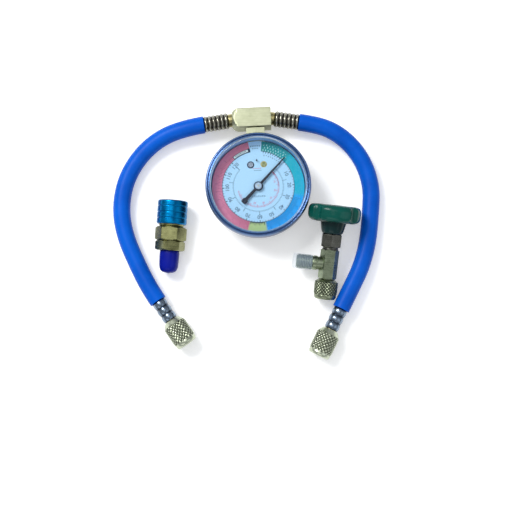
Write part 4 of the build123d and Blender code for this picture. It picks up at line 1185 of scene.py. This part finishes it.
half = [(0.0, 30.2), (0.42, 29.9), (0.52, 28.0), (0.85, 12.0), (1.0, 3.5)]
half += [(3.6 * math.cos(math.radians(t)), 3.6 * math.sin(math.radians(t))) for t in range(70, -75, -8)]
half += [(1.05, -3.5), (1.3, -13.6), (2.0, -14.0), (2.2, -14.6), (2.0, -16.9), (1.5, -17.4), (0.0, -17.5)]
pointer_outline = half + [(-x, y) for x, y in reversed(half[1:-1])]
POINTER_AT = ROW @ Matrix.Rotation(math.radians(-ZERO_ANGLE), 4, "Z")
needle = join_marks("needle", [plate(pointer_outline, 20.4, 20.8)], POINTER_AT)
dress(needle, "pointer_set", pointer_paint, "pointer_black", "pointer")
dress_node("pointer_hub", hub_silver, 0.15)


# Tee

def tee_rings():
    """Square bar along its own axis, coned at its left end."""
    square = polygon_radius(4, 15.0, 0.0, 0.045)
    rings = [(TEE_END_LEFT, 0.0), (TEE_END_LEFT, 6.1)]
    for i in range(13):
        height = -17.35 + 4.4 * i / 12
        limit = 6.3 + 4.5 * i / 12
        rings.append((height, lambda angle, limit=limit: min(square(angle), limit)))
    for height in (-12.6, -5.0, 5.0, 12.05):
        rings.append((height, square))
    for i in range(4):
        limit = 10.75 - 0.5 * i
        rings.append((12.1 + 0.13 * i, lambda angle, limit=limit: min(square(angle) - 0.02, limit)))
    rings += [(TEE_END_RIGHT, 7.0), (TEE_END_RIGHT, 0.0)]
    return rings


tee = skin("tee", tee_rings(), TEE_AXIS, polygon_angles(4, 0.0, 0.045, 9), sharp=28.0)
dress(tee, "gauge", brass_tee, "brass_pale", "tee_block")
collar_outline = [(0, -1.0), (4.9, -1.0), (5.0, 0.0), (5.0, 2.3, 0.3), (4.5, 3.0, 0.3), (0, 3.0)]
for side, at in (("left", TEE_LEFT), ("right", TEE_RIGHT)):
    collar = lathe(f"collar_{side}", collar_outline, at, 0.2, 64, False)
    dress(collar, "gauge", brass_plain, "brass_pale")


# Can tap

KNOB_R = 20.0


def lobe_radius(angle, inset, edge):
    """Four broad lobes with a narrow scallop between each two, softened at the lips."""
    local = (angle - math.radians(45) + math.pi / 4) % (math.pi / 2) - math.pi / 4
    centre = KNOB_R + 3.4
    reach = 5.6 + inset * 0.6
    plain = KNOB_R - inset
    gap = centre * math.sin(abs(local))
    if gap < reach:
        scallop = centre * math.cos(local) - math.sqrt(reach * reach - gap * gap)
        if scallop < plain:
            if plain - scallop >= 3 * edge:
                return scallop
            blend = 1 / (1 + math.exp(-(plain - scallop) / edge))
            return min(plain, scallop * blend + plain * (1 - blend))
    return plain


def knob_rings():
    """Handwheel with rounded rim, shallow front dish, screw recess and tapered hub."""
    low = 58.6
    high = 71.6
    rim = soften([
        (16.2, low, 0.3), (19.0, low + 1.5, 1.6), (KNOB_R, low + 4.2, 2.0),
        (KNOB_R, high - 3.4, 1.4), (18.6, high - 0.9, 1.2), (16.4, high - 0.15, 0.6),
    ], 0.5, 5, False)
    hub = soften([
        (7.4, 49.95, 0.2), (8.1, 50.8, 0.3), (8.6, 52.5, 0.5), (9.9, low + 0.02, 0.3),
    ], 0.3, 3, False)
    rings = [(49.95, 3.02)]
    rings += [(height, radius) for radius, height in hub]
    rings.append((low, 10.4))
    for radius, height in rim:
        rings.append((height, lambda angle, inset=KNOB_R - radius: lobe_radius(angle, inset, 0.35)))
    dish = [
        (0.3, 13.2), (1.1, 12.4), (1.2, 8.0), (0.1, 6.6), (0.05, 5.2), (0.3, 4.45),
        (1.6, 4.4), (1.6, 1.25), (2.4, 1.25), (2.45, 3.02),
    ]
    return rings + [(high - drop, radius) for drop, radius in dish]


knob = skin("knob", knob_rings(), TAP, 240, loop=True, sharp=45.0)
dress(knob, "tap_handwheel", green, "green_plastic", "tap_knob")
dress_node("tap_knob_screw", steel, 0.1)

bonnet = hex_bar("bonnet", 14.4, 39.5, 49.7, 1.3, 0, TAP, bore=3.06)
dress(bonnet, "tap", packing, "packing_metal", "tap_bonnet")


def thread_rings(low, high, major=5.55, minor=4.95, pitch=THREAD_PITCH, per_turn=8):
    """Rings of a true helical thread with a chamfered start and end."""
    rings = []
    count = int((high - low) / pitch * per_turn)
    for i in range(count + 1):
        height = low + (high - low) * i / count
        fade = min(1.0, (height - low) / 0.6, (high - height) / 0.6 + 0.001)

        def wave(angle, height=height):
            return triangle_wave((height / pitch) - angle / (2 * math.pi))

        def radius(angle, height=height, fade=fade, wave=wave):
            return minor + (major - minor) * min(1.0, wave(angle, height) * 1.25) * fade

        # The groove mark sets painted shade in the thread's root.
        def groove(angle, height=height, wave=wave):
            return max(0.0, 1 - 1.6 * wave(angle, height))

        rings.append((height, radius, groove))
    return rings


body = hex_bar("tap_hex", 12.4, 15.3, 37.7, 1.0, 30, TAP, bore=4.21)
dress(body, "tap", brass_tap, "tap_brass", "tap_body")
tap_collar = lathe("tap_collar", [
    (4.21, 37.6), (6.2, 37.6), (6.2, 38.3, 0.2), (5.8, 38.5, 0.1), (5.8, 39.2, 0.1), (6.2, 39.5, 0.1),
    (4.21, 39.5),
], TAP, 0.1, 72)
dress(tap_collar, "tap", packing, "tap_brass")
spigot = lathe("tap_spigot", [
    (1.5, 7.6), (3.2, 7.6, 0.3), (3.85, 8.4, 0.3), (3.85, 9.75), (3.2, 9.85), (3.2, 10.85),
    (3.85, 10.95), (3.85, 15.4), (1.5, 15.4),
], TAP, 0.1, 64)
dress(spigot, "tap", brass_tap, "tap_brass")
port_rings = [
    (0.0, 2.3), (0.0, 5.0), (8.6, 5.0), (8.9, 5.3), (9.2, 5.5), (11.6, 5.5), (11.9, 5.2), (12.3, 5.0),
]
port_rings += thread_rings(12.4, 23.8)
port_rings += [(24.3, 4.3), (24.6, 4.0), (24.6, 2.3)]
port = skin("tap_port", port_rings, SIDE_PORT, 96, loop=True, sharp=60.0)
dress(port, "tap", brass_tap, "tap_brass")
TAP_NUT_L = 15.0
TAP_NUT = TAP @ shift(0, 0, TAP_NUT_L) @ Matrix.Rotation(math.pi, 4, "X")
tap_nut = swivel_nut("tap_nut_shell", TAP_NUT, 0.0, TAP_NUT_L, 5.8, 3.0, 2.4, TAP_KNURL)
dress(tap_nut, "tap_swivel_nut", brass_tap_nut, "brass", "tap_nut")
clear_cap = lathe("clear_cap", [
    (5.62, 12.56), (6.12, 12.56, 0.15), (6.12, 26.6, 0.5), (5.2, 27.62, 0.5), (0.0, 27.62),
    (0.0, 25.0), (4.6, 24.95, 0.2), (5.62, 23.95, 0.2),
], SIDE_PORT, 0.15, 96, True)
dress(clear_cap, "tap_cap", clear, "clear_cap", "tap_port_cap")


# Quick coupler

SLEEVE_R = 11.48
SLEEVE_GROOVE_BELOW = 11.3
sleeve_outline = [(9.9, 0.52), (10.7, 0.52, 0.2), (11.45, 1.3, 0.5)]
for i in range(3):
    low = 4.2 + 4.6 * i
    sleeve_outline += [
        (SLEEVE_R, low + 0.25, 0.1), (11.2, low + 0.5, 0.1), (11.2, low + 1.1, 0.1),
        (SLEEVE_R, low + 1.35, 0.1),
    ]
sleeve_outline += [
    (SLEEVE_R, 17.9, 0.4), (10.9, 18.68, 0.2), (9.9, 18.68), (9.9, 7.52), (9.09, 7.48), (9.09, 3.32),
    (9.9, 3.28),
]
sleeve = lathe("sleeve", sleeve_outline, COUPLER, 0.1, 144)
# Groove bottoms and the bore get the mark for painted shade.
for spot, mark in zip(sleeve.data.vertices, sleeve.data.attributes["groove"].data):
    reach = math.hypot(spot.co.x, spot.co.y) / MM
    mark.value = 0.8 if reach < SLEEVE_GROOVE_BELOW else 0.0
dress(sleeve, "coupler_collar", anodised, "blue_anodised", "coupler_sleeve")
body_outline = [
    (7.2, 1.0), (8.6, 1.0, 0.2), (9.0, 1.4, 0.1), (9.0, 2.4), (8.4, 2.42), (8.4, 3.18), (9.0, 3.2),
    (9.0, 16.0), (9.75, 16.02), (9.75, 18.9, 0.3), (8.9, 20.75), (4.0, 20.75), (4.0, 15.0),
    (2.0, 15.0), (2.0, 13.0), (6.6, 13.0), (6.6, 11.0), (7.85, 11.0), (7.85, 9.2), (6.6, 9.2), (6.6, 1.6),
]
socket = lathe("coupler_socket", body_outline, COUPLER, 0.08, 120)
dress(socket, "coupler", brass_hex, "brass", "coupler_body")
first_hex = hex_bar("coupler_hex_large", 21.2, 20.72, 31.2, 1.7, 30, COUPLER, bore=6.02)
dress(first_hex, "coupler", brass_hex, "brass")
second_hex = hex_bar("coupler_hex_small", 20.0, 31.3, 38.8, 1.6, 18, COUPLER, bore=1.8)
dress(second_hex, "coupler", brass_hex, "brass", "coupler_adapter")
port_low = [(25.05, 1.8), (25.05, 5.98), (31.35, 5.98), (31.35, 3.0), (38.7, 3.0), (38.7, 5.2)]
port_low += thread_rings(38.9, 49.2)
port_low += [(49.9, 4.4), (50.3, 4.1), (50.3, 1.8)]
coupler_port = skin("coupler_port", port_low, COUPLER, 96, loop=True, sharp=60.0)
dress(coupler_port, "coupler", brass_plain, "brass")
cap_outline = [
    (5.62, 38.92), (7.35, 38.92, 0.3), (7.5, 41.0, 1.0), (7.45, 46.0, 2.0), (7.1, 51.4, 2.0),
    (6.0, 54.4, 1.6), (3.4, 55.7, 0.9), (1.35, 55.85, 0.1), (1.0, 56.18, 0.2), (0.0, 56.18),
    (0.0, 50.85), (4.6, 50.8), (5.62, 49.65),
]
blue_cap = lathe("blue_cap", cap_outline, COUPLER, 0.2, 96, True)
dress(blue_cap, "coupler_cap", blue_plastic, "blue_plastic", "coupler_port_cap")


# Table, backdrop and light

def table_material():
    """Pale table that shows white to the camera, keeps the shadows and can't be seen from below."""
    material, tree, shader = new_material("table", Roughness=0.9, Specular_IOR_Level=0.2)
    fine = noise(tree, 60, 3.0)
    tone = two_tone(tree, fine, (0.90, 0.90, 0.90), (0.93, 0.93, 0.93))
    tree.links.new(tone, shader.inputs["Base Color"])
    path = tree.nodes.new("ShaderNodeLightPath")
    seen = math_node(tree, "MAXIMUM", path.outputs["Is Camera Ray"], path.outputs["Is Transmission Ray"])
    seen = math_node(tree, "MAXIMUM", seen, path.outputs["Is Glossy Ray"])
    reach = axis_distance(tree)
    far = spread(tree, reach, 0.34, 1.0, 0.35, 1.6)
    shader.inputs["Emission Color"].default_value = (1.0, 1.0, 1.0, 1.0)
    tree.links.new(math_node(tree, "MULTIPLY", seen, far), shader.inputs["Emission Strength"])
    geometry = tree.nodes.new("ShaderNodeNewGeometry")
    clear_back = tree.nodes.new("ShaderNodeBsdfTransparent")
    sides = tree.nodes.new("ShaderNodeMixShader")
    tree.links.new(geometry.outputs["Backfacing"], sides.inputs["Fac"])
    tree.links.new(shader.outputs["BSDF"], sides.inputs[1])
    tree.links.new(clear_back.outputs["BSDF"], sides.inputs[2])
    tree.links.new(sides.outputs["Shader"], tree.nodes["Material Output"].inputs["Surface"])
    return material


table_mesh = bpy.data.meshes.new("table")
TABLE_REACH = 9
table_corners = [(x * TABLE_REACH, y * TABLE_REACH, 0) for x, y in ((-1, -1), (1, -1), (1, 1), (-1, 1))]
table_mesh.from_pydata(table_corners, [], [(0, 1, 2, 3)])
table = add_object("table", table_mesh)
table.location = (0, 0, -0.0003)
table_mesh.materials.append(table_material())
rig.stage(table)

world = bpy.data.worlds.new("studio")
bpy.context.scene.world = world
world.use_nodes = True
world_tree = world.node_tree
background = world_tree.nodes["Background"]
background.inputs["Color"].default_value = (0.93, 0.96, 1.0, 1.0)
background.inputs["Strength"].default_value = 0.4
backdrop = world_tree.nodes.new("ShaderNodeBackground")
backdrop.inputs["Color"].default_value = (1.0, 1.0, 1.0, 1.0)
backdrop.inputs["Strength"].default_value = 1.0
world_path = world_tree.nodes.new("ShaderNodeLightPath")
world_mix = world_tree.nodes.new("ShaderNodeMixShader")
world_tree.links.new(world_path.outputs["Is Camera Ray"], world_mix.inputs["Fac"])
world_tree.links.new(background.outputs["Background"], world_mix.inputs[1])
world_tree.links.new(backdrop.outputs["Background"], world_mix.inputs[2])
world_tree.links.new(world_mix.outputs["Shader"], world_tree.nodes["World Output"].inputs["Surface"])


LAMP_AIM = Vector((0.0, -0.03, 0.0))


def lamp(name, spot, size, power, colour=(1.0, 1.0, 1.0)):
    """Soft rectangular lamp in metres and watts."""
    data = bpy.data.lights.new(name, "AREA")
    data.shape = "RECTANGLE"
    data.size, data.size_y = size
    data.energy = power
    data.color = colour
    light = add_object(name, data)
    light.location = spot
    light.rotation_euler = (LAMP_AIM - Vector(spot)).to_track_quat("-Z", "Y").to_euler()


lamp("key", (-0.52, 0.42, 0.86), (0.40, 0.40), 8.7)
lamp("top", (-0.12, 0.10, 1.10), (0.55, 0.55), 1.25)
lamp("fill", (0.75, -0.35, 0.8), (0.7, 0.7), 1.2, (0.92, 0.96, 1.0))
lamp("front", (-0.25, -0.95, 0.7), (0.9, 0.4), 1.6)

bpy.context.scene.view_settings.view_transform = "Standard"

visual_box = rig.bounds()
with open("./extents.json", "w") as sizes:
    json.dump({
        "cad": [list(cad_box[0]), list(cad_box[1])],
        "visual": [list(visual_box[0]), list(visual_box[1])],
    }, sizes)
